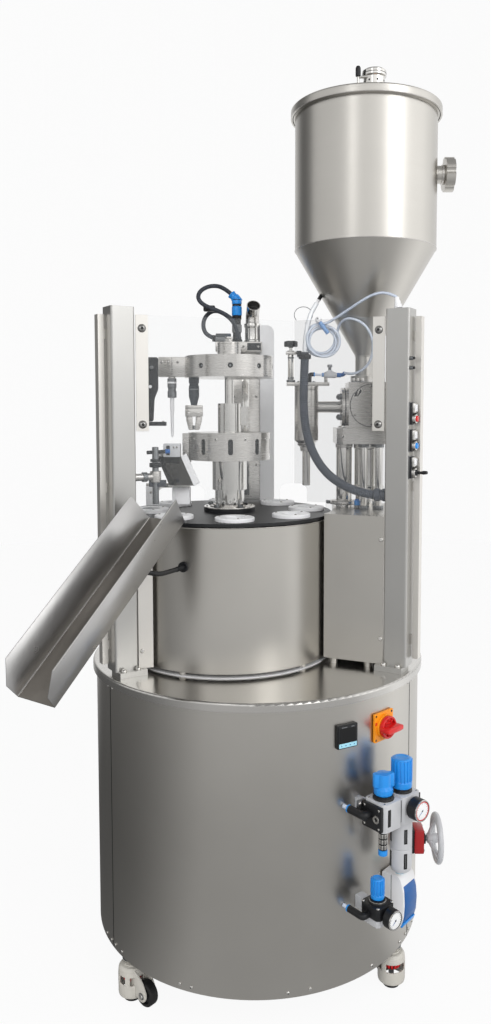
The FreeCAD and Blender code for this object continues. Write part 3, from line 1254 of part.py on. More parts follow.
def air_unit_main():
    s0 = AIR_SHIFT - AIR_MODULE
    s1 = AIR_SHIFT + AIR_MODULE
    n0 = AIR_AXIS - AIR_HALF_D
    n1 = AIR_AXIS + AIR_HALF_D
    body = wall_box(s0, s1, n0, n1, AIR_Z0, AIR_Z1, AIR_BEARING)
    upright = [e for e in body.Edges if abs(e.tangentAt(e.FirstParameter).z) > 0.9]
    parts = [body.makeChamfer(5, upright)]
    for side in (-0.5, 0.5):
        s = AIR_SHIFT + side * AIR_MODULE
        parts.append(air_pole(AIR_COLLAR_R, s, AIR_AXIS, AIR_Z1 - 1, AIR_Z1 + AIR_COLLAR_H))
        parts.append(air_pole(AIR_SPIGOT_R, s, AIR_AXIS, AIR_Z1, AIR_Z1 + AIR_COLLAR_H + AIR_SPIGOT_H))
    s_right = AIR_SHIFT + AIR_MODULE / 2
    s_left = AIR_SHIFT - AIR_MODULE / 2
    parts.append(air_pole(AIR_BOWL_R, s_right, AIR_AXIS, AIR_BOWL_Z0, AIR_Z0 + 1))
    parts.append(air_pole(SILENCER_R, s_left, AIR_AXIS, SILENCER_Z0, AIR_Z0 + 1))
    parts.extend(dial(s_right - 2, DIAL_Z, n1, DIAL_R, DIAL_H + 5))
    # The end plate at the left carries the elbow of the supply tube.
    parts.append(wall_box(s0 - 7, s0 + 1, n0 + 3, n1 - 3, AIR_Z0 + 4, AIR_Z1 - 4, AIR_BEARING))
    port = air_point(s0 - 6, AIR_AXIS - 6, (AIR_Z0 + AIR_Z1) / 2 + 4)
    along = air_point(1, 0, 0)
    parts.append(rod(8, port, along * -1, 16))
    knee = port - along * 16
    parts.append(Part.makeSphere(9, knee))
    inward = outward(AIR_BEARING) * -1
    depth = (knee.dot(outward(AIR_BEARING))) - math.sqrt(SKIRT_R ** 2 - knee.dot(along) ** 2)
    parts.append(rod(6, knee, inward, depth + 2))
    # Two arms bolt the unit to the cabinet.
    for s in (s0 + 12, s1 - 12):
        parts.append(wall_box(s - ARM_WIDTH / 2, s + ARM_WIDTH / 2, SKIRT_R - 8, n0 + 1,
                              AIR_Z0 + 14, AIR_Z1 - 12, AIR_BEARING))
    return outside_skirt(join(*parts))


def winged_knob():
    s = AIR_SHIFT - AIR_MODULE / 2
    z0 = AIR_Z1 + AIR_COLLAR_H + CONTROL_GAP
    at = air_point(s, AIR_AXIS, z0)
    hub = rod(AIR_KNOB_A_R - 6, at, Z, AIR_KNOB_A_H)
    skirt = rod(AIR_KNOB_A_R - 3, at, Z, AIR_KNOB_A_H * 0.3)
    wing = wall_box(s - AIR_KNOB_A_R, s + AIR_KNOB_A_R, AIR_AXIS - 8, AIR_AXIS + 8,
                    z0 + AIR_KNOB_A_H * 0.35, z0 + AIR_KNOB_A_H, AIR_BEARING)
    bore = rod(AIR_SPIGOT_R + CONTROL_GAP, at - V(0, 0, 1), Z, AIR_SPIGOT_H + 1 + CONTROL_GAP)
    return join(hub, skirt, wing).cut(bore)


def fluted_knob(radius, height, s, n, z0, flutes, spigot):
    at = air_point(s, n, z0)
    knob = rod(radius, at, Z, height)
    for i in range(flutes):
        groove_at = polar(radius + 1.6, 360 / flutes * i, 0, at)
        knob = knob.cut(rod(2.8, groove_at + V(0, 0, height * 0.2), Z, height))
    return knob.cut(rod(spigot + CONTROL_GAP, at - V(0, 0, 1), Z, AIR_SPIGOT_H + 1 + CONTROL_GAP))


def air_knob_main():
    z0 = AIR_Z1 + AIR_COLLAR_H + CONTROL_GAP
    return fluted_knob(AIR_KNOB_B_R, AIR_KNOB_B_H, AIR_SHIFT + AIR_MODULE / 2, AIR_AXIS, z0, 16, AIR_SPIGOT_R)


def small_s():
    return (SMALL_S0 + SMALL_S1) / 2


def air_unit_small():
    n0 = SMALL_AXIS - SMALL_HALF_D
    n1 = SMALL_AXIS + SMALL_HALF_D
    body = wall_box(SMALL_S0, SMALL_S1, n0, n1, SMALL_Z0, SMALL_Z1, AIR_BEARING)
    upright = [e for e in body.Edges if abs(e.tangentAt(e.FirstParameter).z) > 0.9]
    parts = [body.makeChamfer(5, upright)]
    s = small_s()
    parts.append(air_pole(SMALL_KNOB_R + 3, s, SMALL_AXIS, SMALL_Z1 - 1, SMALL_Z1 + 7))
    parts.append(air_pole(6, s, SMALL_AXIS, SMALL_Z1, SMALL_Z1 + 7 + AIR_SPIGOT_H))
    parts.extend(dial(s, SMALL_DIAL_Z, n1, SMALL_DIAL_R, DIAL_H))
    along = air_point(1, 0, 0)
    port = air_point(SMALL_S0 + 1, SMALL_AXIS - 4, (SMALL_Z0 + SMALL_Z1) / 2)
    parts.append(rod(7, port, along * -1, 14))
    knee = port - along * 14
    parts.append(Part.makeSphere(8, knee))
    depth = knee.dot(outward(AIR_BEARING)) - math.sqrt(SKIRT_R ** 2 - knee.dot(along) ** 2)
    parts.append(rod(6, knee, outward(AIR_BEARING) * -1, depth + 2))
    parts.append(wall_box(s - 10, s + 10, SKIRT_R - 6, n0 + 1, SMALL_Z0 + 6, SMALL_Z1 - 6, AIR_BEARING))
    return outside_skirt(join(*parts))


def air_knob_small():
    z0 = SMALL_Z1 + 7 + CONTROL_GAP
    return fluted_knob(SMALL_KNOB_R, SMALL_KNOB_H, small_s(), SMALL_AXIS, z0, 12, 6)


def pressure_switch():
    n0 = SKIRT_R + CONTROL_GAP
    outline = [(PRESSURE_S0, -n0), (PRESSURE_S1, -n0), (PRESSURE_S1, -PRESSURE_N1 + 14),
               (PRESSURE_S1 - 8, -PRESSURE_N1), (PRESSURE_S0 + 8, -PRESSURE_N1), (PRESSURE_S0, -PRESSURE_N1 + 14)]
    case = on_bearing(prism(outline, PRESSURE_Z0, PRESSURE_Z1), PRESSURE_BEARING)
    return case


def shutoff_valve():
    body = box(SHUTOFF_X0, SHUTOFF_X1, SHUTOFF_Y - SHUTOFF_HALF, SHUTOFF_Y + SHUTOFF_HALF,
               SHUTOFF_Z - SHUTOFF_HALF_H, SHUTOFF_Z + SHUTOFF_HALF_H)
    stem = rod(6, V(SHUTOFF_X1 - 1, SHUTOFF_Y, SHUTOFF_Z), X, HANDWHEEL_X - SHUTOFF_X1 + 4)
    back = box(SHUTOFF_X0 - 26, SHUTOFF_X0 + 1, SHUTOFF_Y - 16, SHUTOFF_Y + 16, SHUTOFF_Z - 22, SHUTOFF_Z + 22)
    return outside_skirt(join(body, stem, back))


def handwheel():
    centre = V(HANDWHEEL_X, SHUTOFF_Y, SHUTOFF_Z)
    rim = Part.makeTorus(HANDWHEEL_R - HANDWHEEL_RIM, HANDWHEEL_RIM, centre, X)
    hub = rod(HANDWHEEL_HUB_R, centre - X * 22, X, 26)
    parts = [rim, hub]
    for i in range(HANDWHEEL_SPOKES):
        a = math.radians(90 + i * 360 / HANDWHEEL_SPOKES)
        tip = centre + V(0, math.cos(a), math.sin(a)) * (HANDWHEEL_R - HANDWHEEL_RIM)
        start = centre - X * 14
        parts.append(rod(4.5, start, tip - start, (tip - start).Length))
    return join(*parts).cut(rod(6 + PIN_FIT, V(SHUTOFF_X1, SHUTOFF_Y, SHUTOFF_Z), X, HANDWHEEL_X - SHUTOFF_X1 + 3 + 0.5))


def control_units():
    solids = []
    for z in UNIT_Z:
        side = POST_W / 2
        unit = box(side, side + UNIT_DEEP, 6, POST_D - RAIL_D - 4, z - UNIT_HALF_H, z + UNIT_HALF_H)
        button = rod(7, V(side + UNIT_DEEP - 1, 16, z), X, 6)
        solids.append(in_post(join(unit, button), POST_RIGHT_X, POST_RIGHT_Y, POST_RIGHT_ANGLE))
    gland_z = HOSE_ROUTE[0][2]
    inner = post_point(POST_RIGHT_X, POST_RIGHT_Y, POST_RIGHT_ANGLE, -POST_W / 2, GLAND_DEPTH, gland_z)
    outlet = V(*HOSE_ROUTE[0])
    gland = rod(GLAND_R, outlet, inner - outlet, (inner - outlet).Length + 4)
    slab = box(-POST_W / 2, POST_W / 2, 0, POST_D, gland_z - 40, gland_z + 40)
    solids.append(gland.cut(in_post(slab, POST_RIGHT_X, POST_RIGHT_Y, POST_RIGHT_ANGLE)))
    top = V(*TUBE_LEAD_ROUTE[0])
    nipple_base = V(POST_RIGHT_X + 4, POST_RIGHT_Y + 12, POST_TOP)
    nipple = rod(5, nipple_base, top - nipple_base, (top - nipple_base).Length)
    slab = box(top.x - 40, top.x + 40, top.y - 40, top.y + 40, POST_TOP - 20, POST_TOP)
    solids.append(nipple.cut(slab))
    return group(solids)


def caster_spot(i):
    return polar(CASTER_R, CASTER_BEARINGS[i])


def place_caster(shape, i):
    placed = shape.copy()
    placed.rotate(V(0, 0, 0), Z, CASTER_TRAILS[i] - 90)
    placed.translate(caster_spot(i))
    return placed


def caster_fork(i):
    top = SKIRT_Z0 - CASTER_BOSS_H - FORK_TOP_GAP
    bell = pole(FORK_BELL_R, 0, 0, FORK_BELL_Z0, FORK_BELL_Z1)
    rim = [e for e in bell.Edges
           if e.Curve.TypeId == "Part::GeomCircle" and e.CenterOfMass.z > FORK_BELL_Z1 - 1]
    bell = bell.makeFillet(6.0, rim)
    neck = pole(FORK_NECK_R, 0, 0, FORK_BELL_Z1 - 1, top)
    axle_z = WHEEL_R + WHEEL_LIFT
    inner = WHEEL_WIDTH / 2 + WHEEL_SIDE_GAP
    cheeks = []
    for side in (-1, 1):
        low = inner if side > 0 else -inner - FORK_CHEEK
        outline = [(0, FORK_BELL_Z1 - 8), (0, FORK_BELL_Z0), (WHEEL_TRAIL - 10, axle_z - 9),
                   (WHEEL_TRAIL + 4, axle_z - 10), (WHEEL_TRAIL + 11, axle_z + 2), (WHEEL_TRAIL + 4, axle_z + 18),
                   (FORK_BELL_R - 6, FORK_BELL_Z1 - 4)]
        cheeks.append(plate_xz(outline, low, low + FORK_CHEEK))
    body = join(bell, neck, *cheeks)
    body = body.cut(pole(FORK_BELL_R - FORK_BELL_WALL, 0, 0, FORK_BELL_Z0 - 1, FORK_BELL_Z1 - 6))
    body = body.cut(pole(FOOT_STEM_R + PIN_FIT, 0, 0, FORK_BELL_Z0, top + 1))
    window = box(-FORK_BELL_R - 5, 0, -14, 14, FOOT_RING_Z - 4, FOOT_RING_Z + FOOT_RING_H + FOOT_LIFT)
    body = body.cut(window)
    tread = rod(WHEEL_R + WHEEL_TREAD_GAP, V(WHEEL_TRAIL, -inner, axle_z), Y, 2 * inner)
    body = body.cut(tread)
    axle = rod(AXLE_R, V(WHEEL_TRAIL, -inner - FORK_CHEEK - 2, axle_z), Y, 2 * (inner + FORK_CHEEK + 2))
    return place_caster(join(body, axle), i)


def caster_wheel(i):
    axle_z = WHEEL_R + WHEEL_LIFT
    half = WHEEL_WIDTH / 2
    tyre = rod(WHEEL_R, V(WHEEL_TRAIL, -half, axle_z), Y, WHEEL_WIDTH)
    rims = [e for e in tyre.Edges if e.Curve.TypeId == "Part::GeomCircle"]
    tyre = tyre.makeFillet(3.0, rims)
    bore = rod(AXLE_R + PIN_FIT, V(WHEEL_TRAIL, -half - 1, axle_z), Y, WHEEL_WIDTH + 2)
    return place_caster(tyre.cut(bore), i)


def levelling_feet():
    feet = []
    for i in range(len(CASTER_BEARINGS)):
        pad = pole(PAD_R, 0, 0, 0, PAD_H)
        stem = pole(FOOT_STEM_R, 0, 0, PAD_H - 1, FOOT_STEM_TOP)
        ring = pole(FOOT_RING_R, 0, 0, FOOT_RING_Z, FOOT_RING_Z + FOOT_RING_H)
        feet.append(place_caster(join(pad, stem, ring), i))
    return group(feet)


def tube_coil():
    ring = Part.makeTorus(COIL_R, COIL_SECTION, V(COIL_X, COIL_Y, COIL_Z), Y)
    return ring


def air_tube():
    return group([cord("air tube lead", TUBE_LEAD_ROUTE, TUBE_R), cord("air tube tail", TUBE_TAIL_ROUTE, TUBE_R)])


NODES = {
    "base_skirt_front": base_skirt_front,
    "base_skirt_rear": base_skirt_rear,
    "deck_plate": deck_plate,
    "base_frame": base_frame,
    "indexer_drive": indexer_drive,
    "turret_shell": turret_shell,
    "turntable": turntable,
    "tube_holders": tube_holders,
    "guide_column": guide_column,
    "lower_tool_ring": lower_tool_ring,
    "upper_tool_ring": upper_tool_ring,
    "head_sleeve": head_sleeve,
    "press_tool": press_tool,
    "jaw_left": lambda: jaw(-1),
    "jaw_right": lambda: jaw(1),
    "post_left": lambda: post(POST_LEFT_X, POST_LEFT_Y, POST_LEFT_ANGLE, 1),
    "post_right": lambda: post(POST_RIGHT_X, POST_RIGHT_Y, POST_RIGHT_ANGLE, -1),
    "dome_bolts": dome_bolts,
    "guard_strips": guard_strips,
    "guard_pane_left": guard_pane_left,
    "guard_pane_right": guard_pane_right,
    "dosing_box": dosing_box,
    "discharge_chute": discharge_chute,
    "chute_arm": chute_arm,
    "lift_actuator": lift_actuator,
    "back_cover": back_cover,
    "tube_slide": tube_slide,
    "dosing_pump": dosing_pump,
    "dosing_plate": dosing_plate,
    "valve_block": valve_block,
    "filling_head": filling_head,
    "nozzle": nozzle,
    "hopper_shell": hopper_shell,
    "hopper_lid": hopper_lid,
    "controller": controller,
    "switch_plate": switch_plate,
    "switch_knob": switch_knob,
    "air_unit_main": air_unit_main,
    "air_knob_winged": winged_knob,
    "air_knob_main": air_knob_main,
    "air_unit_small": air_unit_small,
    "air_knob_small": air_knob_small,
    "pressure_switch": pressure_switch,
    "shutoff_valve": shutoff_valve,
    "handwheel": handwheel,
    "control_units": control_units,
    "levelling_feet": levelling_feet,
    "head_cable_a": lambda: cord("head cable a", CABLE_A_ROUTE, CABLE_R),
    "head_cable_b": lambda: cord("head cable b", CABLE_B_ROUTE, CABLE_R),
    "conduit_hose": lambda: cord("conduit hose", HOSE_ROUTE, HOSE_R),
    "air_tube": air_tube,
    "tube_coil": tube_coil,
}

for number in range(len(CASTER_BEARINGS)):
    NODES[f"caster_fork_{number + 1}"] = lambda n=number: caster_fork(n)
    NODES[f"caster_wheel_{number + 1}"] = lambda n=number: caster_wheel(n)

os.makedirs("parts", exist_ok=True)
for name, make in NODES.items():
    shape = make()
    if not shape.isValid():
        print("not valid:", name)
    shape.exportStep(f"parts/{name}.step")
print(len(NODES), "nodes written")
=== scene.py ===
import math
import bmesh
import bpy
from mathutils import Matrix, Vector


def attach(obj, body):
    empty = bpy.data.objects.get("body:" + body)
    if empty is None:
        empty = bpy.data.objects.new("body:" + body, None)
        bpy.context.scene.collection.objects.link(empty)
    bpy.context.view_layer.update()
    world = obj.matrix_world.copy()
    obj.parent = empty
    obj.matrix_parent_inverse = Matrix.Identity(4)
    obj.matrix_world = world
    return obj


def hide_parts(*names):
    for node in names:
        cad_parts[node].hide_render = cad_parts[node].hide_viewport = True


# Looks of the tube filling machine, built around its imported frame.
# Lengths are in millimetres up to the mesh helpers, which turn them to metres.
# A bearing is an angle from the front, -Y, towards the right, +X.

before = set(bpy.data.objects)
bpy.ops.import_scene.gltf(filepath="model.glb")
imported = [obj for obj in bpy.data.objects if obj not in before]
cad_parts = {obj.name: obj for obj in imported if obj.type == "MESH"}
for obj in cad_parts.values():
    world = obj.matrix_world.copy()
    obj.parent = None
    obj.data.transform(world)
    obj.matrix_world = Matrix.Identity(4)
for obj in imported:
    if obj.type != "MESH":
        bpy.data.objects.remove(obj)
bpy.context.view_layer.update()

MM = 0.001
TURRET = Vector((-66, 0, 0))
HOPPER = Vector((250, 20, 0))
FILL = Vector((114.9, 20, 0))
SKIN_R = 375  # the cabinet's skin
DRUM_R = 238
CASTER_R = 352  # circle of the casters' stems
HOLDER_R = 182  # circle of the tube holders
TABLE_Z = 1040  # top of the turntable's hub
BOX_Z = 1035.2  # just over the dosing box
PORT_Z = 1806  # the hopper's side port
PRESS_X, JAW_X = -199, -148
POST_LEFT, POST_RIGHT = (-273, -215, 33), (297, -183, -28)


def linear(hex_colour):
    """An sRGB hex value as linear red, green, blue and one."""
    channels = [int(hex_colour[i:i + 2], 16) / 255 for i in (1, 3, 5)]
    return [c / 12.92 if c <= 0.04045 else ((c + 0.055) / 1.055) ** 2.4 for c in channels] + [1.0]


def add(tree, kind, settings=None, links=None):
    """Adds a node, sets its properties or input values, and links its inputs."""
    item = tree.nodes.new("ShaderNode" + kind)
    for key, value in (settings or {}).items():
        if isinstance(key, str) and hasattr(item, key):
            setattr(item, key, value)
        else:
            item.inputs[key].default_value = value
    for key, source in (links or {}).items():
        tree.links.new(source, item.inputs[key])
    return item


def start_material(name, colour, roughness, metallic=0.0, **more):
    """A new material and its shader, with the values that hold all over the surface."""
    mat = bpy.data.materials.new(name)
    mat.use_nodes = True
    shader = mat.node_tree.nodes["Principled BSDF"]
    shader.inputs["Base Color"].default_value = linear(colour)
    shader.inputs["Roughness"].default_value = roughness
    shader.inputs["Metallic"].default_value = metallic
    for key, value in more.items():
        shader.inputs[key.replace("_", " ")].default_value = value
    return mat, mat.node_tree, shader


def place_grain(tree, period, stretch=(1, 1, 1)):
    """Noise whose grain measures period millimetres, drawn out by stretch along each axis."""
    where = add(tree, "TexCoord").outputs["Object"]
    scale = [1 / (period * MM * s) for s in stretch]
    spread = add(tree, "Mapping", {"Scale": scale}, {"Vector": where}).outputs["Vector"]
    return add(tree, "TexNoise", {"Scale": 1.0, "Detail": 3.0}, {"Vector": spread}).outputs["Fac"]


def vary_roughness(tree, shader, grain, low, high):
    """Roughness that follows a grain, between two values."""
    spread = add(tree, "MapRange", {"To Min": low, "To Max": high}, {"Value": grain})
    tree.links.new(spread.outputs["Result"], shader.inputs["Roughness"])


def vary_colour(tree, shader, grain, dark, light):
    """Colour that follows a grain, between two hex values."""
    blend = add(tree, "Mix", {"data_type": "RGBA", 6: linear(dark), 7: linear(light)}, {0: grain})
    tree.links.new(blend.outputs[2], shader.inputs["Base Color"])


def raise_grain(tree, shader, grain, height_mm, edge_mm=0.0):
    """A fine relief from a grain, over edges that are softened by edge_mm."""
    bump = add(tree, "Bump", {"Strength": 1.0, "Distance": height_mm * MM}, {"Height": grain})
    if edge_mm:
        edge = add(tree, "Bevel", {"Radius": edge_mm * MM, "samples": 4})
        tree.links.new(edge.outputs["Normal"], bump.inputs["Normal"])
    tree.links.new(bump.outputs["Normal"], shader.inputs["Normal"])


def brushed_sheet(name, colour, dark, roughness, stretch, edge_mm=0.6):
    """304 sheet with a rolled and brushed finish: long fine scratches smear each highlight across them."""
    mat, tree, shader = start_material(name, colour, roughness, 1.0)
    # Real scratches are 0.05 mm apart; 1.2 mm is the finest that shows at this distance.
    scratches = place_grain(tree, 1.2, stretch)
    clouds = place_grain(tree, 140.0)
    vary_roughness(tree, shader, scratches, roughness - 0.05, roughness + 0.07)
    vary_colour(tree, shader, clouds, dark, colour)
    raise_grain(tree, shader, scratches, 0.012, edge_mm)
    return mat


def turned_steel(name, colour, roughness, edge_mm=0.5):
    """Stainless bar, turned and polished: sharp reflections with faint rings from the tool."""
    mat, tree, shader = start_material(name, colour, roughness, 1.0)
    rings = place_grain(tree, 0.8, (60, 60, 1))
    vary_roughness(tree, shader, rings, roughness * 0.94, roughness * 1.1)
    raise_grain(tree, shader, rings, 0.0006, edge_mm)
    return mat


def bead_blasted(name, colour, roughness, edge_mm=0.4):
    """Cast or milled metal with a blasted skin: matt, with a fine even grain."""
    mat, tree, shader = start_material(name, colour, roughness, 1.0)
    grit = place_grain(tree, 0.9)
    vary_roughness(tree, shader, grit, roughness - 0.06, roughness + 0.08)
    raise_grain(tree, shader, grit, 0.02, edge_mm)
    return mat


def moulded(name, colour, roughness, dark=None, edge_mm=0.4, **more):
    """Injection-moulded plastic: an even colour, soft highlights and a faint spark-eroded grain."""
    mat, tree, shader = start_material(name, colour, roughness, 0.0, **more)
    grain = place_grain(tree, 1.1)
    vary_colour(tree, shader, place_grain(tree, 45.0), dark or colour, colour)
    vary_roughness(tree, shader, grain, roughness - 0.05, roughness + 0.07)
    raise_grain(tree, shader, grain, 0.006, edge_mm)
    return mat


def clear_sheet(name, colour, alpha):
    """Clear polycarbonate sheet, 5 mm, with polished faces: it shows by its edges and a grey cast."""
    mat, tree, shader = start_material(name, colour, 0.03, IOR=1.2, Alpha=alpha)
    vary_roughness(tree, shader, place_grain(tree, 220.0), 0.02, 0.06)
    return mat


def painted_cast(name, colour, dark, roughness):
    """Powder-coated casting: a thick skin with a fine orange-peel."""
    mat, tree, shader = start_material(name, colour, roughness, 0.0, Coat_Weight=0.3, Coat_Roughness=0.2)
    peel = place_grain(tree, 1.6)
    vary_colour(tree, shader, place_grain(tree, 30.0), dark, colour)
    raise_grain(tree, shader, peel, 0.03, 0.5)
    return mat


def tyre_rubber():
    """Black polyurethane tread: dull, with scuffs from the floor."""
    mat, tree, shader = start_material("tread_rubber", "#141414", 0.62)
    scuffs = place_grain(tree, 4.0)
    vary_colour(tree, shader, scuffs, "#0E0E0E", "#232323")
    vary_roughness(tree, shader, scuffs, 0.5, 0.75)
    raise_grain(tree, shader, scuffs, 0.05)
    return mat


def cable_sheath(name, colour, dark, roughness):
    """Extruded cable sheath: smooth along its length, with a dull polymer shine."""
    mat, tree, shader = start_material(name, colour, roughness)
    grain = place_grain(tree, 1.5)
    vary_colour(tree, shader, place_grain(tree, 12.0), dark, colour)
    raise_grain(tree, shader, grain, 0.01)
    return mat


def clear_tubing(name, middle, edge):
    """Soft clear tube, drawn opaque: painted shade makes its edges darker than its middle, the look of a
    half-clear tube.
    """
    mat, tree, shader = start_material(name, middle, 0.18, IOR=1.45)
    # Painted shade: the colour turns darker towards the edges the camera sees at a glancing angle.
    rim = add(tree, "LayerWeight", {"Blend": 0.45})
    vary_colour(tree, shader, rim.outputs["Facing"], middle, edge)
    return mat


def dark_opening():
    """The unlit inside of a slot, hole or screen."""
    mat, tree, shader = start_material("dark_opening", "#08080A", 0.4)
    vary_roughness(tree, shader, place_grain(tree, 3.0), 0.3, 0.5)
    return mat


STEEL = brushed_sheet("brushed_304_sheet", "#CFCCC6", "#C6C3BD", 0.31, (80, 80, 1))
STEEL_FLAT = brushed_sheet("brushed_304_deck", "#D6D4D0", "#CBC9C5", 0.22, (1, 60, 60))
STEEL_POST = brushed_sheet("brushed_304_tube", "#CDCCC9", "#C3C2BF", 0.34, (1, 1, 60))
# Near-white steel: a painted reflection of the white studio, for the cover strips and the chute's hems.
STEEL_STRIP_PAINTED_REFLECTION = brushed_sheet("strip_304_painted_reflection", "#F3F0EB", "#EAE7E1", 0.42, (1, 1, 60))
STEEL_CHUTE = brushed_sheet("satin_304_tray", "#C6C5C4", "#B9B8B7", 0.29, (20, 20, 20))
# The chute's floor: the same steel as its walls, painted darker as painted shade.
STEEL_FLOOR_PAINTED_SHADE = brushed_sheet("satin_304_tray_floor_painted_shade", "#928D86", "#85807A", 0.31, (20, 20, 20))
# Mirror steel painted dark: a painted shade for what the tray mirrors.
STEEL_TRAY_PAINTED_SHADE = brushed_sheet("mirror_304_tray_painted_shade", "#6B6864", "#605D59", 0.16, (20, 20, 20))
POLISHED = turned_steel("polished_304_bar", "#DCDAD6", 0.10)
SCREW = turned_steel("stainless_button_screw", "#A9A8A6", 0.2)
SATIN = turned_steel("satin_304_block", "#D2CFCB", 0.27)
ALUMINIUM = painted_cast("silver_lacquer_casting", "#C3C4C7", "#B8B9BC", 0.32)
GALVANISED = bead_blasted("plated_steel", "#8E9092", 0.45)
WHITE = moulded("white_acetal", "#EDEDEE", 0.38, "#E4E4E6")
BLACK = moulded("black_polyamide", "#16171A", 0.42, "#101114")
BLUE = moulded("blue_polyamide", "#1E93E8", 0.30, "#1785DA", Coat_Weight=0.25)
BLUE_PALE = moulded("pale_blue_polyamide", "#7FA6D6", 0.34, "#7399CB")
BLUE_DARK = moulded("dark_blue_cover", "#1F62A8", 0.34, "#1A5697")
RED = moulded("red_polyamide", "#D9201F", 0.28, "#C91718", Coat_Weight=0.2)
ORANGE = moulded("orange_polyamide", "#F59A12", 0.38, "#EE900C")
RED_PAINT = painted_cast("red_enamel", "#B31217", "#A50E13", 0.3)
CREAM = painted_cast("cream_casting", "#CFCCC4", "#C2BEB5", 0.36)
PANE = clear_sheet("clear_polycarbonate", "#C9CDCF", 0.05)
# The right pane: the same clear sheet, greyed and made denser as painted shade.
PANE_PAINTED_SHADE = clear_sheet("polycarbonate_painted_shade", "#8C8E90", 0.12)
TYRE = tyre_rubber()
CABLE = cable_sheath("cable_sheath_black", "#3A3E46", "#2F333A", 0.48)
HOSE = cable_sheath("conduit_grey_blue", "#4A505B", "#3B414B", 0.42)
TUBING = clear_tubing("polyurethane_tube", "#DCE4F0", "#8C9BB8")
SLEEVE = clear_tubing("clear_pvc_sleeve", "#F2F4F6", "#B9BFC6")
DARK = dark_opening()
DIAL = moulded("dial_white", "#F1F2F2", 0.4, "#EAEBEB", 0.0)
SCREEN = moulded("screen_black", "#0B0C0E", 0.12, "#08090A", 0.0)
KEYS = moulded("keypad_cyan", "#A9DDEC", 0.4, "#9AD2E4", 0.0)


def shift(x, y, z):
    return Matrix.Translation((x, y, z))


def turn(degrees, axis="Z"):
    return Matrix.Rotation(math.radians(degrees), 4, axis)


def facing(direction, at=(0, 0, 0)):
    """Puts the origin at a point and +Z along a direction."""
    return Matrix.Translation(at) @ Vector(direction).to_track_quat("Z", "Y").to_matrix().to_4x4()


def to_front(x, y, z):
    """A place whose +Z looks at the operator."""
    return facing((0, -1, 0), (x, y, z))


def to_right(x, y, z):
    return facing((1, 0, 0), (x, y, z))


def to_left(x, y, z):
    return facing((-1, 0, 0), (x, y, z))


def outward(bearing, length=1.0):
    """The level direction at a bearing, this long."""
    a = math.radians(bearing)
    return Vector((math.sin(a), -math.cos(a), 0)) * length


def rounded(points, radius, closed=False, steps=3):
    """The same outline with each corner made into a small arc."""
    result = []
    last = len(points) - 1
    for i, point in enumerate(points):
        if not closed and i in (0, last):
            result.append(tuple(point))
            continue
        corner = Vector(point)
        before = Vector(points[i - 1]) - corner
        after = Vector(points[(i + 1) % len(points)]) - corner
        reach = min(radius, 0.45 * before.length, 0.45 * after.length)
        first = corner + before.normalized() * reach
        second = corner + after.normalized() * reach
        for k in range(steps + 1):
            t = k / steps
            result.append(tuple(first * (1 - t) ** 2 + corner * 2 * t * (1 - t) + second * t * t))
    return result


def block(x0, x1, y0, y1, z0, z1):
    """A box between these faces; Piece.put bevels it."""
    def build(bm):
        size = Vector((x1 - x0, y1 - y0, z1 - z0))
        middle = Vector((x0 + x1, y0 + y1, z0 + z1)) / 2
        bmesh.ops.create_cube(bm, size=1, matrix=Matrix.Translation(middle) @ Matrix.Diagonal((*size, 1)))
    return build


def lathe(profile, steps=64):
    """Turns (radius, height) points about Z."""
    def build(bm):
        rings = []
        for radius, height in profile:
            count = steps if radius > 1e-6 else 1
            angles = [2 * math.pi * k / steps for k in range(count)]
            rings.append([bm.verts.new((radius * math.cos(a), radius * math.sin(a), height)) for a in angles])
        for low, high in zip(rings, rings[1:]):
            for k in range(steps):
                j = (k + 1) % steps
                corners = (low[k % len(low)], low[j % len(low)], high[j % len(high)], high[k % len(high)])
                unique = list(dict.fromkeys(corners))
                if len(unique) > 2:
                    bm.faces.new(unique)
    return build


def turned(profile, edge, steps=64):
    """Turns (radius, height) points about Z, with the corners broken."""
    return lathe(rounded(profile, edge), steps)


def disc(radius, z0, z1, edge=1.0, steps=64):
    return turned([(0, z0), (radius, z0), (radius, z1), (0, z1)], edge, steps)


def ring(outer, inner, z0, z1, edge=0.8, steps=64):
    """A turned ring."""
    outline = rounded([(outer, z0), (outer, z1), (inner, z1), (inner, z0)], edge, True)
    return lathe(outline + outline[:1], steps)


def extrude(outline, z0, z1):
    """A closed outline raised from z0 to z1."""
    def build(bm):
        low = [bm.verts.new((x, y, z0)) for x, y in outline]
        high = [bm.verts.new((x, y, z1)) for x, y in outline]
        bm.faces.new(low[::-1])
        bm.faces.new(high)
        for i in range(len(outline)):
            j = (i + 1) % len(outline)
            bm.faces.new((low[i], low[j], high[j], high[i]))
    return build


def regular(radius, sides, turn_by=0.0):
    """The corners of a regular polygon."""
    angles = [math.radians(turn_by + 360 * k / sides) for k in range(sides)]
    return [(radius * math.cos(a), radius * math.sin(a)) for a in angles]


def tube(points, radii, steps=16):
    """A round bar through the points, with one radius or one for each point."""
    def build(bm):
        path = [Vector(p) for p in points]
        sizes = radii if isinstance(radii, (list, tuple)) else [radii] * len(path)
        side = (path[1] - path[0]).orthogonal().normalized()
        rings = []
        for i, here in enumerate(path):
            ahead = path[min(i + 1, len(path) - 1)] - path[max(i - 1, 0)]
            ahead.normalize()
            side = (side - ahead * side.dot(ahead)).normalized()
            other = ahead.cross(side)
            angles = [2 * math.pi * k / steps for k in range(steps)]
            rings.append([bm.verts.new(here + (side * math.cos(a) + other * math.sin(a)) * sizes[i])
                          for a in angles])
        for low, high in zip(rings, rings[1:]):
            for k in range(steps):
                j = (k + 1) % steps
                bm.faces.new((low[k], low[j], high[j], high[k]))
        bm.faces.new(rings[0][::-1])
        bm.faces.new(rings[-1])
    return build


def wire_ring(radius, section, steps=48, sides=12):
    """A round wire bent to a ring."""
    outline = [(radius + section * math.cos(a),
                section * math.sin(a)) for a in (2 * math.pi * k / sides for k in range(sides + 1))]
    return lathe(outline, steps)


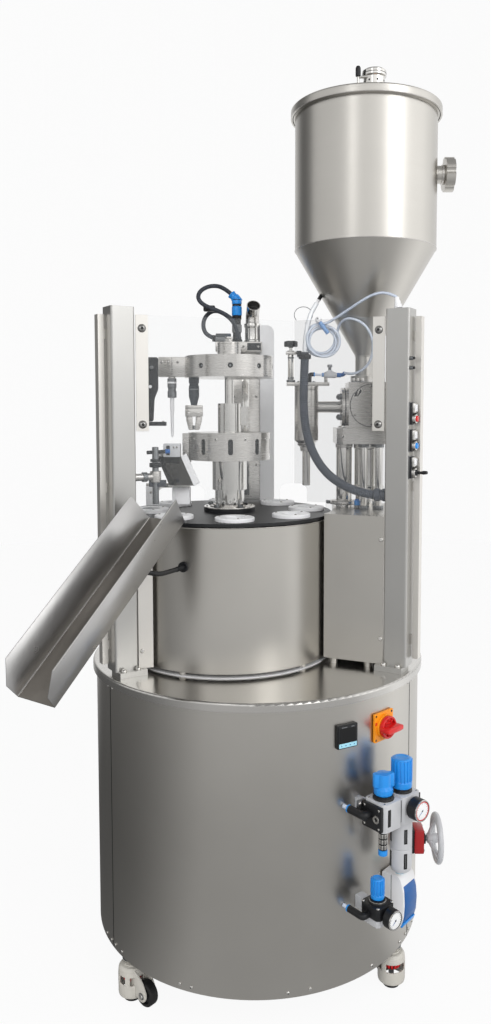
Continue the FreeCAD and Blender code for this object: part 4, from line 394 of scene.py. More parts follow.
class Piece:
    """One object put together from parts, each with its own material."""

    def __init__(self, name):
        self.name = name
        self.mesh = bmesh.new()
        self.materials = []

    def put(self, build, material, place=None, bevel=0.0):
        part = bmesh.new()
        build(part)
        bmesh.ops.remove_doubles(part, verts=part.verts, dist=1e-5)
        bmesh.ops.recalc_face_normals(part, faces=part.faces)
        if bevel:
            sharp = [e for e in part.edges if e.is_manifold and e.calc_face_angle(0) > math.radians(32)]
            bmesh.ops.bevel(part, geom=sharp, offset=bevel, segments=2, profile=0.5, affect="EDGES",
                            clamp_overlap=True)
        if material not in self.materials:
            self.materials.append(material)
        for face in part.faces:
            face.material_index = self.materials.index(material)
            face.smooth = True
        part.transform(Matrix.Scale(MM, 4) @ (place or Matrix()))
        passing = bpy.data.meshes.new("passing")
        part.to_mesh(passing)
        self.mesh.from_mesh(passing)
        bpy.data.meshes.remove(passing)
        part.free()

    def finish(self, body, slot, *nodes):
        data = bpy.data.meshes.new(self.name)
        self.mesh.to_mesh(data)
        self.mesh.free()
        data.set_sharp_from_angle(angle=math.radians(32))
        for material in self.materials:
            data.materials.append(material)
        made = bpy.data.objects.new(self.name, data)
        bpy.context.scene.collection.objects.link(made)
        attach(made, body)
        if nodes:
            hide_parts(*nodes)
        return made


def set_camera():
    """The photograph's view: its focal length and place were solved from the machine's circles."""
    data = bpy.data.cameras.new("camera")
    data.sensor_width = 36.0
    data.sensor_fit = "AUTO"
    data.lens = 29.23
    data.shift_x = -0.0278
    data.shift_y = -0.0412
    data.clip_end = 60.0
    camera = bpy.data.objects.new("camera", data)
    camera.location = (0.03435, -1.94404, 1.2605)
    camera.rotation_euler = (math.pi / 2 - 0.0701, 0, -0.002)
    bpy.context.scene.collection.objects.link(camera)
    bpy.context.scene.camera = camera


def stage_material():
    """Matt studio paper. The camera sees it white with the machine's soft shadow; for reflections it carries
    painted light and shade by position:
    grey in front, dark at the left, bright at the right and behind, to match the studio's falloff."""
    mat, tree, shader = start_material("studio_paper", "#E6E6E6", 0.9)
    light = add(tree, "LightPath").outputs
    spot = add(tree, "SeparateXYZ", None, {"Vector": add(tree, "NewGeometry").outputs["Position"]}).outputs
    level = add(tree, "CombineXYZ", None, {"X": spot["X"], "Y": spot["Y"]}).outputs["Vector"]
    way = add(tree, "VectorMath", {"operation": "NORMALIZE"}, {0: level}).outputs["Vector"]
    reach = add(tree, "VectorMath", {"operation": "LENGTH"}, {0: level}).outputs["Value"]
    side = add(tree, "SeparateXYZ", None, {"Vector": way}).outputs
    left = add(tree, "MapRange", {"From Min": -1.0, "From Max": -0.5, "To Min": 0.11, "To Max": 0.40},
               {"Value": side["X"]}).outputs["Result"]
    dip = add(tree, "MapRange", {"From Min": 0.0, "From Max": 0.6, "To Min": 1.0, "To Max": 0.35},
              {"Value": side["Y"]}).outputs["Result"]
    far = add(tree, "MapRange", {"From Min": 1.3, "From Max": 3.2, "To Min": 1.0, "To Max": 1.7},
              {"Value": reach}).outputs["Result"]
    back = add(tree, "Math", {"operation": "MAXIMUM", 1: 0.0}, {0: side["Y"]}).outputs[0]
    turned = add(tree, "Math", {"operation": "MULTIPLY_ADD", 1: 0.9}, {0: back, 2: side["X"]}).outputs[0]
    right = add(tree, "MapRange", {"From Min": 0.88, "From Max": 1.1, "To Min": 0.0, "To Max": 0.7},
                {"Value": turned}).outputs["Result"]
    grey = add(tree, "Math", {"operation": "MULTIPLY"}, {0: left, 1: dip}).outputs[0]
    painted_falloff = add(tree, "Math", {"operation": "MULTIPLY_ADD"}, {0: grey, 1: far, 2: right}).outputs[0]
    behind = add(tree, "MapRange", {"From Min": 0.7, "From Max": 1.0}, {"Value": side["Y"]}).outputs["Result"]
    # Painted light and shade, seen only by glossy rays: grey in front, dark at the left, brighter far off, at
    # the right and behind.
    shaded = add(tree, "Mix", {"data_type": "FLOAT", 3: 1.0}, {0: behind, 2: painted_falloff}).outputs[0]
    mirrored = add(tree, "Math", {"operation": "MAXIMUM"}, {0: light["Is Glossy Ray"],
                                                            1: light["Is Transmission Ray"]}).outputs[0]
    strength = add(tree, "Mix", {"data_type": "FLOAT", 2: 1.0}, {0: light["Is Glossy Ray"],
                                                                 3: shaded}).outputs[0]
    glow = add(tree, "Emission", {"Color": linear("#FFFFFF")}, {"Strength": strength})
    straight = add(tree, "Math", {"operation": "MULTIPLY", 1: 0.93}, {0: light["Is Camera Ray"]}).outputs[0]
    share = add(tree, "Math", {"operation": "MAXIMUM"}, {0: straight, 1: mirrored}).outputs[0]
    blend = add(tree, "MixShader", None, {0: share, 1: shader.outputs[0], 2: glow.outputs[0]})
    tree.links.new(blend.outputs[0], tree.nodes["Material Output"].inputs["Surface"])
    return mat


WALL_R, WALL_TOP = 5.5, 9.0  # the paper wall, in metres


def set_stage():
    """A pale paper floor and a curved paper wall behind the machine."""
    floor_data = bpy.data.meshes.new("floor")
    shape = bmesh.new()
    bmesh.ops.create_grid(shape, x_segments=1, y_segments=1, size=WALL_TOP)
    shape.to_mesh(floor_data)
    wall_data = bpy.data.meshes.new("backdrop")
    shape.clear()
    lows = []
    highs = []
    for k in range(33):
        a = math.pi * k / 32
        x, y = WALL_R * math.cos(a), 1.0 + WALL_R * math.sin(a)
        lows.append(shape.verts.new((x, y, 0)))
        highs.append(shape.verts.new((x, y, WALL_TOP)))
    for k in range(32):
        shape.faces.new((lows[k], lows[k + 1], highs[k + 1], highs[k]))
    shape.to_mesh(wall_data)
    shape.free()
    paper = stage_material()
    for name, data in (("floor", floor_data), ("backdrop", wall_data)):
        data.materials.append(paper)
        made = bpy.data.objects.new(name, data)
        bpy.context.scene.collection.objects.link(made)


def set_world():
    """Soft studio light all round, dimmer at the left and low down, as by a black flag there."""
    world = bpy.data.worlds.new("studio")
    bpy.context.scene.world = world
    world.use_nodes = True
    tree = world.node_tree
    way = add(tree, "SeparateXYZ", None, {"Vector": add(tree, "TexCoord").outputs["Generated"]}).outputs
    side = add(tree, "MapRange", {"From Min": -1.0, "From Max": 1.0, "To Min": 0.55, "To Max": 1.05},
               {"Value": way["X"]}).outputs["Result"]
    rise = add(tree, "MapRange", {"From Min": -0.1, "From Max": 0.2, "To Min": 0.6, "To Max": 1.45},
               {"Value": way["Z"]}).outputs["Result"]
    fall = add(tree, "MapRange", {"From Min": 0.35, "From Max": 0.8, "To Min": 1.45, "To Max": 0.45},
               {"Value": way["Z"]}).outputs["Result"]
    height = add(tree, "Math", {"operation": "MINIMUM"}, {0: rise, 1: fall}).outputs[0]
    lit = add(tree, "Math", {"operation": "MULTIPLY"}, {0: side, 1: height}).outputs[0]
    straight = add(tree, "LightPath").outputs["Is Camera Ray"]
    strength = add(tree, "Mix", {"data_type": "FLOAT", 3: 1.0}, {0: straight, 2: lit}).outputs[0]
    sky = tree.nodes["Background"]
    sky.inputs["Color"].default_value = linear("#FFFFFF")
    tree.links.new(strength, sky.inputs["Strength"])


def add_softbox(name, at, target, width, height, power):
    """A rectangular lamp aimed at a point, in metres and watts."""
    data = bpy.data.lights.new(name, "AREA")
    data.shape = "RECTANGLE"
    data.size = width
    data.size_y = height
    data.energy = power
    lamp = bpy.data.objects.new(name, data)
    lamp.location = at
    lamp.rotation_euler = (Vector(target) - Vector(at)).to_track_quat("-Z", "Y").to_euler()
    bpy.context.scene.collection.objects.link(lamp)
    return lamp


def at_turret(z=0.0):
    """On the turntable's axis."""
    return shift(TURRET.x, TURRET.y, z)


def on_skin(bearing, radius, z):
    """A frame on the cabinet's skin: x to the right along it, y up and z outward."""
    out = outward(bearing)
    frame_here = Matrix(((-out.y, 0, out.x), (out.x, 0, out.y), (0, 1, 0))).to_4x4()
    return Matrix.Translation(out * radius + Vector((0, 0, z))) @ frame_here


def in_post(x, y, angle):
    """A guard post's own frame: x across it, y back."""
    return shift(x, y, 0) @ turn(angle)


UPRIGHT = turn(90, "X")  # an outline in X and Z, its thickness along -Y
SIDEWAYS = Matrix(((0, 0, 1, 0), (1, 0, 0, 0), (0, 1, 0, 0), (0, 0, 0, 1)))  # an outline in Y and Z


def capsule(width, height, steps=8):
    """The outline of a slot with round ends."""
    half = width / 2
    reach = height / 2 - half
    top = [(half * math.cos(math.pi * k / steps),
            reach + half * math.sin(math.pi * k / steps)) for k in range(steps + 1)]
    return top + [(-x, -y) for x, y in top]


def dome_screw(piece, place, radius=5.5, height=3.5, material=None):
    """A button-head screw with a hexagon socket."""
    dome = [(0, height), (radius * 0.45, height), (radius * 0.8, height * 0.75), (radius, height * 0.3),
            (radius, 0)]
    piece.put(lathe(dome[::-1], 24), material or POLISHED, place)
    # The socket is a dark hexagon on the dome: painted shade in its recess.
    piece.put(extrude(regular(radius * 0.42, 6), height - 0.4, height + 0.15), DARK, place)


def hex_nut(piece, place, reach, height, material):
    """A chamfered hexagon nut; reach is from its middle to a corner."""
    piece.put(extrude(regular(reach, 6), 0, height), material, place, 0.8)


CABLE_A_ROUTE = (
    (-73, 251, 1566), (-94, 246, 1584), (-126, 232, 1585), (-152, 220, 1570), (-157, 208, 1548),
    (-140, 198, 1530), (-112, 193, 1519), (-84, 195, 1507), (-64, 203, 1488), (-55, 214, 1464),
    (-52, 225, 1440),
)
CABLE_B_ROUTE = (
    (-75, 247, 1504), (-97, 246, 1520), (-123, 243, 1522), (-142, 239, 1504), (-146, 235, 1478),
    (-135, 233, 1456), (-112, 232, 1449),
)
HOSE_ROUTE = (
    (256, -137, 1079), (226, -127, 1083), (189, -109, 1098), (155, -82, 1122), (128, -55, 1162),
    (112, -34, 1212), (106, -25, 1270), (107, -23, 1330), (109, -22, 1380),
)
TUBE_LEAD_ROUTE = (
    (297, -166, 1502), (280, -150, 1514), (254, -128, 1514), (226, -100, 1500), (200, -70, 1484),
    (176, -46, 1470), (158, -31, 1460),
)
TUBE_TAIL_ROUTE = (
    (185, -8, 1447), (189, -21, 1461), (199, -36, 1470), (215, -46, 1471), (243, -54, 1457), (260, -53, 1428),
    (263, -48, 1396), (254, -40, 1367), (234, -27, 1350), (214, -11, 1346), (203, 6, 1350),
)
COIL_STEPS = 14


def coil_points():
    """Loose turns of the clear tube, of slightly different sizes, beside one another."""
    points = []
    for k in range(1, 4 * COIL_STEPS - 2):  # just short of four turns
        turns = k / COIL_STEPS
        angle = math.pi / 2 + 2 * math.pi * turns
        radius = 34 + 4.0 * math.sin(2.1 * turns + 0.4)
        x = 149 + 3.5 * math.sin(1.5 * turns) + radius * math.cos(angle)
        z = 1423 + 4.0 * math.cos(1.9 * turns + 0.6) + radius * math.sin(angle)
        points.append((x, -28 + 7 * turns, z))
    return points


def smooth_route(name, route, steps):
    """A curve that runs smoothly along a route, its points as control points."""
    data = bpy.data.curves.new(name, "CURVE")
    data.dimensions = "3D"
    data.resolution_u = steps
    spline = data.splines.new("NURBS")
    spline.points.add(len(route) - 1)
    for point, place in zip(spline.points, route):
        point.co = (*(v * MM for v in place), 1)
    spline.order_u = 3
    spline.use_endpoint_u = True
    return data


def lay_cord(name, route, radius, material, slot, nodes, length, **facts):
    """A round cord along a route; its length in millimetres is not used."""
    data = smooth_route(name, route, 10)
    data.bevel_depth = radius * MM
    data.bevel_resolution = 5
    data.use_fill_caps = True
    data.materials.append(material)
    made = bpy.data.objects.new(name, data)
    bpy.context.scene.collection.objects.link(made)
    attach(made, "root")
    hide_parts(*nodes)


def follow_spline(route):
    """The smooth line of a route, as points in metres."""
    passing = bpy.data.objects.new("passing", smooth_route("passing", route, 24))
    line = bpy.data.meshes.new_from_object(passing)
    points = [v.co.copy() for v in line.vertices]
    bpy.data.objects.remove(passing)
    bpy.data.meshes.remove(line)
    return points


def spaced(points, step):
    """Points at even distances along a line."""
    result = [points[0]]
    left = step
    for a, b in zip(points, points[1:]):
        run = (b - a).length
        done = 0.0
        while run - done >= left:
            done += left
            result.append(a.lerp(b, done / run))
            left = step
        left -= run - done
    return result


def lay_conduit():
    """Corrugated conduit: a rib every 4.4 mm."""
    line = follow_spline(HOSE_ROUTE)
    spots = [point / MM for point in spaced(line, 1.1 * MM)]
    radii = [(9.0, 9.7, 10.0, 9.7)[k % 4] for k in range(len(spots))]
    piece = Piece("conduit")
    piece.put(tube(spots, radii, 28), HOSE)
    made = piece.finish("root", "black_cable", "conduit_hose")


def lay_cords():
    """The four free cords of the machine."""
    lay_cord("mast_cable_upper", CABLE_A_ROUTE, 5.5, CABLE, "black_cable", ["head_cable_a"], 286,
             stiffness="medium")
    lay_cord("mast_cable_lower", CABLE_B_ROUTE, 5.5, CABLE, "black_cable", ["head_cable_b"], 151,
             stiffness="medium")
    lay_conduit()
    whole = list(TUBE_LEAD_ROUTE) + coil_points() + list(TUBE_TAIL_ROUTE)
    lay_cord("coiled_air_tube", whole, 3.0, TUBING, "clear_tube", ["air_tube", "tube_coil"], 1300,
             stiffness="medium", lay="coiled")


def make_ring_details():
    """Painted shade in the slots of the lower tool ring and the holes of the upper one, set screws in those
    holes, and four button screws on the lower ring.
    """
    piece = Piece("tool_ring_slots")
    for i in range(9):
        bearing = 4.5 + 40 * i
        lower = at_turret() @ on_skin(bearing, 95 - 6, 1180.5)
        upper = at_turret() @ on_skin(bearing, 102 - 4, 1362.5)
        # Dark fills: painted shade in the slots and holes.
        piece.put(extrude(capsule(10.8, 35.8), -5, 0), DARK, lower)
        piece.put(disc(5.9, -8, 0, 0.5, 32), DARK, upper)
        piece.put(extrude(regular(2.6, 6), 0, 0.4), GALVANISED, upper)
    for bearing in (24.5, 64.5, -15.5, -55.5):
        dome_screw(piece, at_turret() @ on_skin(bearing, 94.6, 1198), 3.4, 1.6)
    piece.finish("head", "black_plastic")

    nut = Piece("spindle_nut")
    hex_nut(nut, at_turret(1428), 9.5, 5, POLISHED)
    nut.put(turned([(0, 1419), (27.4, 1419), (27.4, 1416), (27.0, 1415)], 0.6, 48), SATIN, at_turret())
    nut.put(ring(15, 9, 1419, 1421.5), SATIN, at_turret())
    for bearing in (-70, -20, 30, 80):
        dome_screw(nut, at_turret() @ shift(*(outward(bearing, 21).to_tuple()[:2]), 1419), 2.6, 2.0)
    nut.finish("head", "polished_stainless")


def make_table_hub():
    """Chrome hub on the table, with the two clamp levers of the tube pushers."""
    piece = Piece("table_hub")
    piece.put(ring(59.5, 36.2, 1036, TABLE_Z, 1.2, 72), POLISHED, at_turret())
    piece.put(ring(47, 36.2, TABLE_Z, TABLE_Z + 2.8, 0.8, 64), SATIN, at_turret())
    for bearing in (-31, 31):
        out = outward(bearing)
        base = TURRET + out * 53 + Vector((0, 0, TABLE_Z))
        piece.put(disc(6.5, 0, 9, 1.0, 24), GALVANISED, shift(*base))
        handle = [base + out * reach + Vector((0, 0, rise)) for reach, rise in ((0, 6), (9, 9), (24, 13))]
        piece.put(tube(handle, [2.6, 2.4, 2.2]), POLISHED)
        piece.put(tube([handle[2] - out * 6, handle[2] + out * 4, handle[2] + out * 6], [3.6, 4.0, 2.4]),
                  BLACK)
    for k in range(6):
        dome_screw(piece, at_turret() @ turn(60 * k + 12) @ shift(53, 0, TABLE_Z), 3.0, 2.0)
    piece.finish("turret", "polished_stainless")


def make_press_tool():
    """Closing tool: beam, press with its plunger, tapered strap and the drive of the jaws."""
    piece = Piece("press_beam")
    piece.put(block(-229, -164, -14, 14, 1340, 1386), SATIN, None, 1.6)
    piece.put(block(-197.6, -196.6, -14.2, 14.2, 1341, 1385), DARK)
    for x in (-221, -206, -184):
        dome_screw(piece, to_front(x, -14, 1374), 3.4, 2.2)
    piece.put(turned([(0, 1337), (10.5, 1337), (10.5, 1316), (9.2, 1314), (9.2, 1309), (10.5, 1307), (10.5,
                                                                                                      1293),
                      (8, 1292), (0, 1292)], 0.7, 40), GALVANISED, shift(PRESS_X, 0, 0))
    piece.put(ring(11.2, 9, 1325, 1329, 0.5, 40), WHITE, shift(PRESS_X, 0, 0))
    piece.put(lathe([(0, 1293), (5.0, 1292), (4.8, 1262), (4.0, 1255), (3.6, 1214), (2.2, 1202), (0, 1200.4)],
                    28), WHITE, shift(PRESS_X, 0, 0))
    piece.put(disc(8, 1336, 1341, 1.0, 32), POLISHED, shift(PRESS_X, 0, 0))
    strap = [(-257, 1386), (-231, 1386), (-231, 1312), (-240, 1290), (-243, 1237), (-257, 1237)]
    piece.put(extrude(rounded(strap, 5, True), -4, 4), BLACK, UPRIGHT, 1.0)
    piece.put(disc(6.5, 0, 3, 0.8, 32), BLACK, to_front(-245, -4, 1362))
    hex_nut(piece, to_front(-245, -7, 1362), 5, 3.5, GALVANISED)
    piece.put(disc(3.8, 0, 0.4, 0.1, 24), WHITE, to_front(-249, -4, 1318))
    piece.put(block(-257, -213, -7.5, 7.5, 1227, 1236.5), BLACK, None, 1.2)
    dome_screw(piece, shift(-220, 0, 1236.5), 3.2, 2.0)
    piece.finish("head", "satin_stainless", "press_tool")

    drive = Piece("jaw_drive")
    drive.put(turned([(0, 1338), (12, 1338), (12, 1327), (10.5, 1325), (10.5, 1321), (12, 1319), (12, 1295),
                      (9, 1284), (7, 1275), (0, 1275)], 0.6, 44), CABLE, shift(JAW_X, 0, 0))
    drive.put(ring(12.6, 10, 1310, 1313, 0.4, 44), GALVANISED, shift(JAW_X, 0, 0))
    drive.put(block(-167.6, -128.4, -12, 12, 1264.2, 1275), SATIN, None, 1.2)
    for y in (-12.2, 7.6):
        drive.put(block(-167.6, -128.4, y, y + 4.6, 1248.5, 1266), SATIN, None, 0.8)
    for x in (-159, -137):
        drive.put(disc(3.4, 0, 1.2, 0.5, 20), POLISHED, to_front(x, -12.2, 1256))
    drive.finish("head", "satin_stainless")


def make_jaw(name, node, body, side):
    """A closing jaw: a pivoted steel arm with a dark grip face."""
    piece = Piece(name)
    outline = [(4, 1262.6), (18, 1262.6), (18, 1240), (12, 1217.4), (2.3, 1217.4), (2.3, 1226), (4, 1238)]
    points = [(JAW_X + side * x, z) for x, z in outline]
    piece.put(extrude(rounded(points if side > 0 else points[::-1], 2.2, True), -6.9, 6.9), SATIN, UPRIGHT,
              0.7)
    low, high = sorted((JAW_X + side, JAW_X + side * 3.2))
    piece.put(block(low, high, -7.1, 7.1, 1218, 1228), BLACK, None, 0.3)
    piece.finish(body, "satin_stainless", node)


def make_tube_slide():
    """Bracket at the left post with a tilted mirror-polished tray, its steel painted dark as painted shade,
    and two white guide blocks.
    """
    a = math.radians(33)
    along = Vector((math.cos(a), math.sin(a), 0))
    inner = in_post(*POST_LEFT) @ Vector((26, 24, 1120))
    knee = inner + along * 55
    piece = Piece("tube_slide_bracket")
    piece.put(disc(14, 0, 5, 1.0, 40), POLISHED, facing(along, inner))
    piece.put(disc(8, 4, 58, 1.0, 32), SATIN, facing(along, inner))
    piece.put(ring(10.5, 7.8, 24, 34, 0.8, 32), GALVANISED, facing(along, inner))
    piece.put(disc(7, 1060, 1184, 1.5, 32), GALVANISED, shift(knee.x, knee.y, 0))
    piece.put(disc(13, 1140, 1150, 2.0, 32), BLACK, shift(knee.x, knee.y, 0))
    piece.put(disc(4, 0, 46, 0.8, 24), BLACK, facing((1, 0.3, 0.05), (knee.x - 18, knee.y - 4, 1172)))
    piece.put(disc(5, 40, 50, 0.8, 24), BLUE_DARK, facing((1, 0.3, 0.05), (knee.x - 18, knee.y - 4, 1172)))
    piece.put(block(knee.x - 14, knee.x + 22, knee.y - 6, knee.y + 12, 1098, 1112), CABLE, None, 1.5)
    piece.put(ring(12, 8.8, 1108, 1132, 1.0, 32), SATIN, shift(knee.x, knee.y, 0))
    piece.put(ring(11, 8.8, 1152, 1158, 1.0, 32), BLACK, shift(knee.x, knee.y, 0))
    piece.put(block(knee.x - 6, knee.x + 6, knee.y, -62, 1160, 1172), SATIN, None, 1.0)
    piece.put(block(knee.x - 6, -172, -72, -62, 1160, 1172), SATIN, None, 1.0)
    piece.put(block(-211, -173, -76, -52, 1158, 1188), ALUMINIUM, None, 1.5)
    piece.put(block(-204, -196, -77, -51, 1162, 1184), BLACK, None, 0.6)
    for x in (-187, -180):
        dome_screw(piece, to_front(x, -76, 1180), 2.6, 1.8)
    piece.put(block(-252, -152, -66, -56, 1088, 1098), POLISHED, None, 0.8)
    piece.put(block(knee.x - 5, knee.x + 5, knee.y, -58, 1088, 1098), SATIN, None, 0.8)
    piece.put(block(-252, -226, -70, -44, 1048, 1092), WHITE, None, 2.0)
    piece.put(block(-192, -152, -74, -48, 1050, 1090), WHITE, None, 2.0)
    for x in (-240, -180, -164):
        dome_screw(piece, to_front(x, -72, 1078), 2.8, 1.8)
    tray = [(-227, -62, 1158), (-173, -62, 1158), (-140, -104, 1096), (-194, -104, 1096)]
    wing = [(-173, -62, 1158), (-140, -104, 1096), (-128, -104, 1104), (-161, -62, 1166)]
    for outline, normal, finish in ((tray, Vector((0, 1.2, 1.6)), STEEL_TRAY_PAINTED_SHADE), (wing, Vector((1.2, 1.2,
                                                                                              -1.0)), WHITE)):
        piece.put(sheet_between(outline, normal), finish)
    piece.finish("root", "satin_stainless", "tube_slide")


def sheet_between(outline, thickness):
    """A flat sheet with these corners and this thickness vector."""
    def build(bm):
        low = [bm.verts.new(p) for p in outline]
        high = [bm.verts.new(Vector(p) + thickness) for p in outline]
        bm.faces.new(low)
        bm.faces.new(high[::-1])
        for i in range(len(outline)):
            j = (i + 1) % len(outline)
            bm.faces.new((low[i], high[i], high[j], low[j]))
    return build


def make_mast():
    """Rear mast with its head block, sealed box, chrome cylinder, open elbow and blue cable connector."""
    piece = Piece("lift_mast")
    piece.put(block(-74, 2, 250, 290, 709, 1414), SATIN, None, 2.0)
    for z in (1120, 1190, 1300, 1370):
        for x in (-64, -8):
            dome_screw(piece, to_front(x, 250, z), 3.6, 2.4)
    piece.put(block(-46, -26, 247, 250, 1040, 1400), POLISHED, None, 1.0)
    piece.put(block(-94, 22, 246, 302, 700, 710), STEEL_FLAT, None, 1.5)
    piece.put(block(-112, 7, 212, 290, 1414, 1440), SATIN, None, 2.0)
    piece.put(block(-30, 5, 211, 213, 1418, 1436), BLACK, None, 0.6)
    for x in (-104, -66, -40, -2):
        dome_screw(piece, to_front(x, 212, 1427), 3.2, 2.2)
    box_side = [(212.2, 1440), (249.8, 1440), (249.8, 1461.8), (226, 1461.8), (212.2, 1451)]
    piece.put(extrude(box_side, -111.8, -73.2), GALVANISED, SIDEWAYS, 1.0)
    piece.put(turned([(0, 1440), (22, 1440), (22, 1446), (20, 1448), (20, 1478), (22, 1481), (22, 1490),
                             (0, 1490)], 1.0, 56), POLISHED, shift(-18, 262, 0))
    piece.put(disc(18, 1489, 1500, 1.0, 48), SATIN, shift(-18, 262, 0))
    lean = Vector((0.12, -math.sin(math.radians(52)), math.cos(math.radians(52)))).normalized()
    bend = Vector((-18, 262, 1514))
    arc = [Vector((-18, 262, 1499)), Vector((-18, 262, 1508)), bend + lean * 5, bend + lean * 14]
    piece.put(tube(rounded(arc, 9, steps=5), 17.6, 40), SATIN)
    piece.put(turned([(17.6, 12), (17.8, 34), (15.6, 34), (15.2, 14)], 0.5, 48), POLISHED, facing(lean, bend))
    # A dark disc inside the open elbow: painted shade in its mouth.
    piece.put(disc(15.3, 12, 16, 0.3, 40), DARK, facing(lean, bend))
    piece.put(turned([(0, 1440), (12, 1440), (12, 1454), (10.4, 1456), (10.4, 1498), (12, 1500), (12, 1551),
                      (0, 1551)], 0.8, 40), BLACK, shift(-58, 246, 0))
    piece.put(ring(12.6, 9, 1466, 1486, 1.0, 40), GALVANISED, shift(-58, 246, 0))
    piece.put(turned([(9.5, 1508), (13.2, 1510), (13.2, 1531), (11.6, 1534), (11.6, 1538), (13.2, 1541),
                      (12.6, 1549), (0, 1552)], 0.9, 40), BLUE, shift(-58, 246, 0))
    inlet = Vector((-55, 249, 1548))
    socket = Vector((-73, 251, 1566))
    piece.put(turned([(0, -7), (10.6, -6), (11.8, 4), (11.8, 13), (10.2, 15), (10.2, 20), (11.4, 22), (11.4,
                                                                                                       25),
                      (0, 25.6)], 0.8, 40), BLUE, facing(socket - inlet, inlet))
    for k in range(10):
        spot = facing(socket - inlet, inlet) @ turn(36 * k)
        piece.put(block(11.2, 12.4, -1.2, 1.2, 5, 12), BLUE, spot, 0.4)
    piece.put(disc(8, 0, 14, 1.2, 32), BLACK, facing((-0.8, 0, 0.6), (-62, 247, 1496)))
    piece.put(disc(9.2, 3, 8, 0.8, 32), BLUE, facing((-0.8, 0, 0.6), (-62, 247, 1496)))
    piece.finish("root", "satin_stainless", "lift_actuator")

    gland = Piece("mast_cable_glands")
    gland.put(disc(8.6, 0, 9, 1.0, 28), BLACK, facing((-1, 0, 0.1), (-111.5, 232, 1449)))
    gland.put(disc(8.6, 0, 7, 1.0, 28), BLACK, facing((0.1, 0.25, 1), (-52, 224, 1439)))
    gland.put(block(-142, -112, 203, 217, 1516, 1531), BLACK, None, 3.0)
    gland.finish("root", "black_plastic")


AIR = turn(40)
BOWL = AIR @ shift(26, -429, 0)
SHUT_OFF = AIR @ shift(-28, -429, 0)
SMALL_UNIT = AIR @ shift(-38, -425, 0)


def cut_corners(x0, x1, y0, y1, cut):
    """A rectangle's outline with its corners cut off."""
    return [(x0 + cut, y0), (x1 - cut, y0), (x1, y0 + cut), (x1, y1 - cut),
            (x1 - cut, y1), (x0 + cut, y1), (x0, y1 - cut), (x0, y0 + cut)]


def skin_depth(s):
    """How far out the cabinet's skin stands, s along the air units' frame, with 0.3 mm to spare."""
    return math.sqrt((SKIN_R + 0.3) ** 2 - s * s)


def make_gauge(piece, place, radius, depth, rim=None):
    """A pressure gauge: black case, bright bezel, white dial with ticks and a needle."""
    piece.put(turned([(0, 0), (radius - 1, 0), (radius, 2), (radius, depth - 3), (radius - 1.6, depth),
                      (radius - 3, depth), (radius - 3.4, depth - 1.2), (0, depth - 1.2)], 0.5, 56), BLACK,
              place)
    piece.put(ring(radius - 0.6, radius - 2.6, depth - 2.4, depth + 0.25, 0.4, 56), POLISHED, place)
    piece.put(disc(radius - 3, depth - 1.6, depth - 0.9, 0.1, 48), DIAL, place)
    if rim:
        piece.put(ring(radius - 3.2, radius - 5.0, depth - 1.0, depth - 0.5, 0.1, 48), rim, place)
    for k in range(17):
        angle = -135 + k * 270 / 16
        reach = radius - 5.6 if rim else radius - 4
        length = 2.6 if k % 4 == 0 else 1.5
        spot = place @ turn(angle)
        piece.put(block(-0.28, 0.28, reach - length, reach, depth - 0.95, depth - 0.7), DARK, spot)
    piece.put(extrude([(-0.7, -3), (0.7, -3), (0.25, radius - 8), (-0.25, radius - 8)], depth - 0.6,
                      depth - 0.3), BLUE_DARK, place @ turn(128))
    piece.put(disc(1.6, depth - 0.9, depth - 0.1, 0.2, 20), BLACK, place)


def make_elbow(piece, start, knee, end, radius):
    """A push-in elbow with a blue release ring and a short clear plug that goes into the cabinet."""
    piece.put(tube(rounded([start, knee, knee + (end - knee) * 0.7], radius * 1.6, steps=5), radius, 24),
              BLACK)
    piece.put(disc(radius * 0.72, 0, 4, 0.4, 24), POLISHED, facing(knee - start,
                                                                   start - (knee - start) * 0.12))
    way = (end - knee).normalized()
    ring_at = knee + (end - knee) * 0.7
    piece.put(disc(radius * 1.02, 0, 3.4, 0.5, 28), BLUE, facing(way, ring_at))
    piece.put(disc(radius * 0.62, 3, (end - ring_at).length, 0.3, 24), TUBING, facing(way, ring_at))


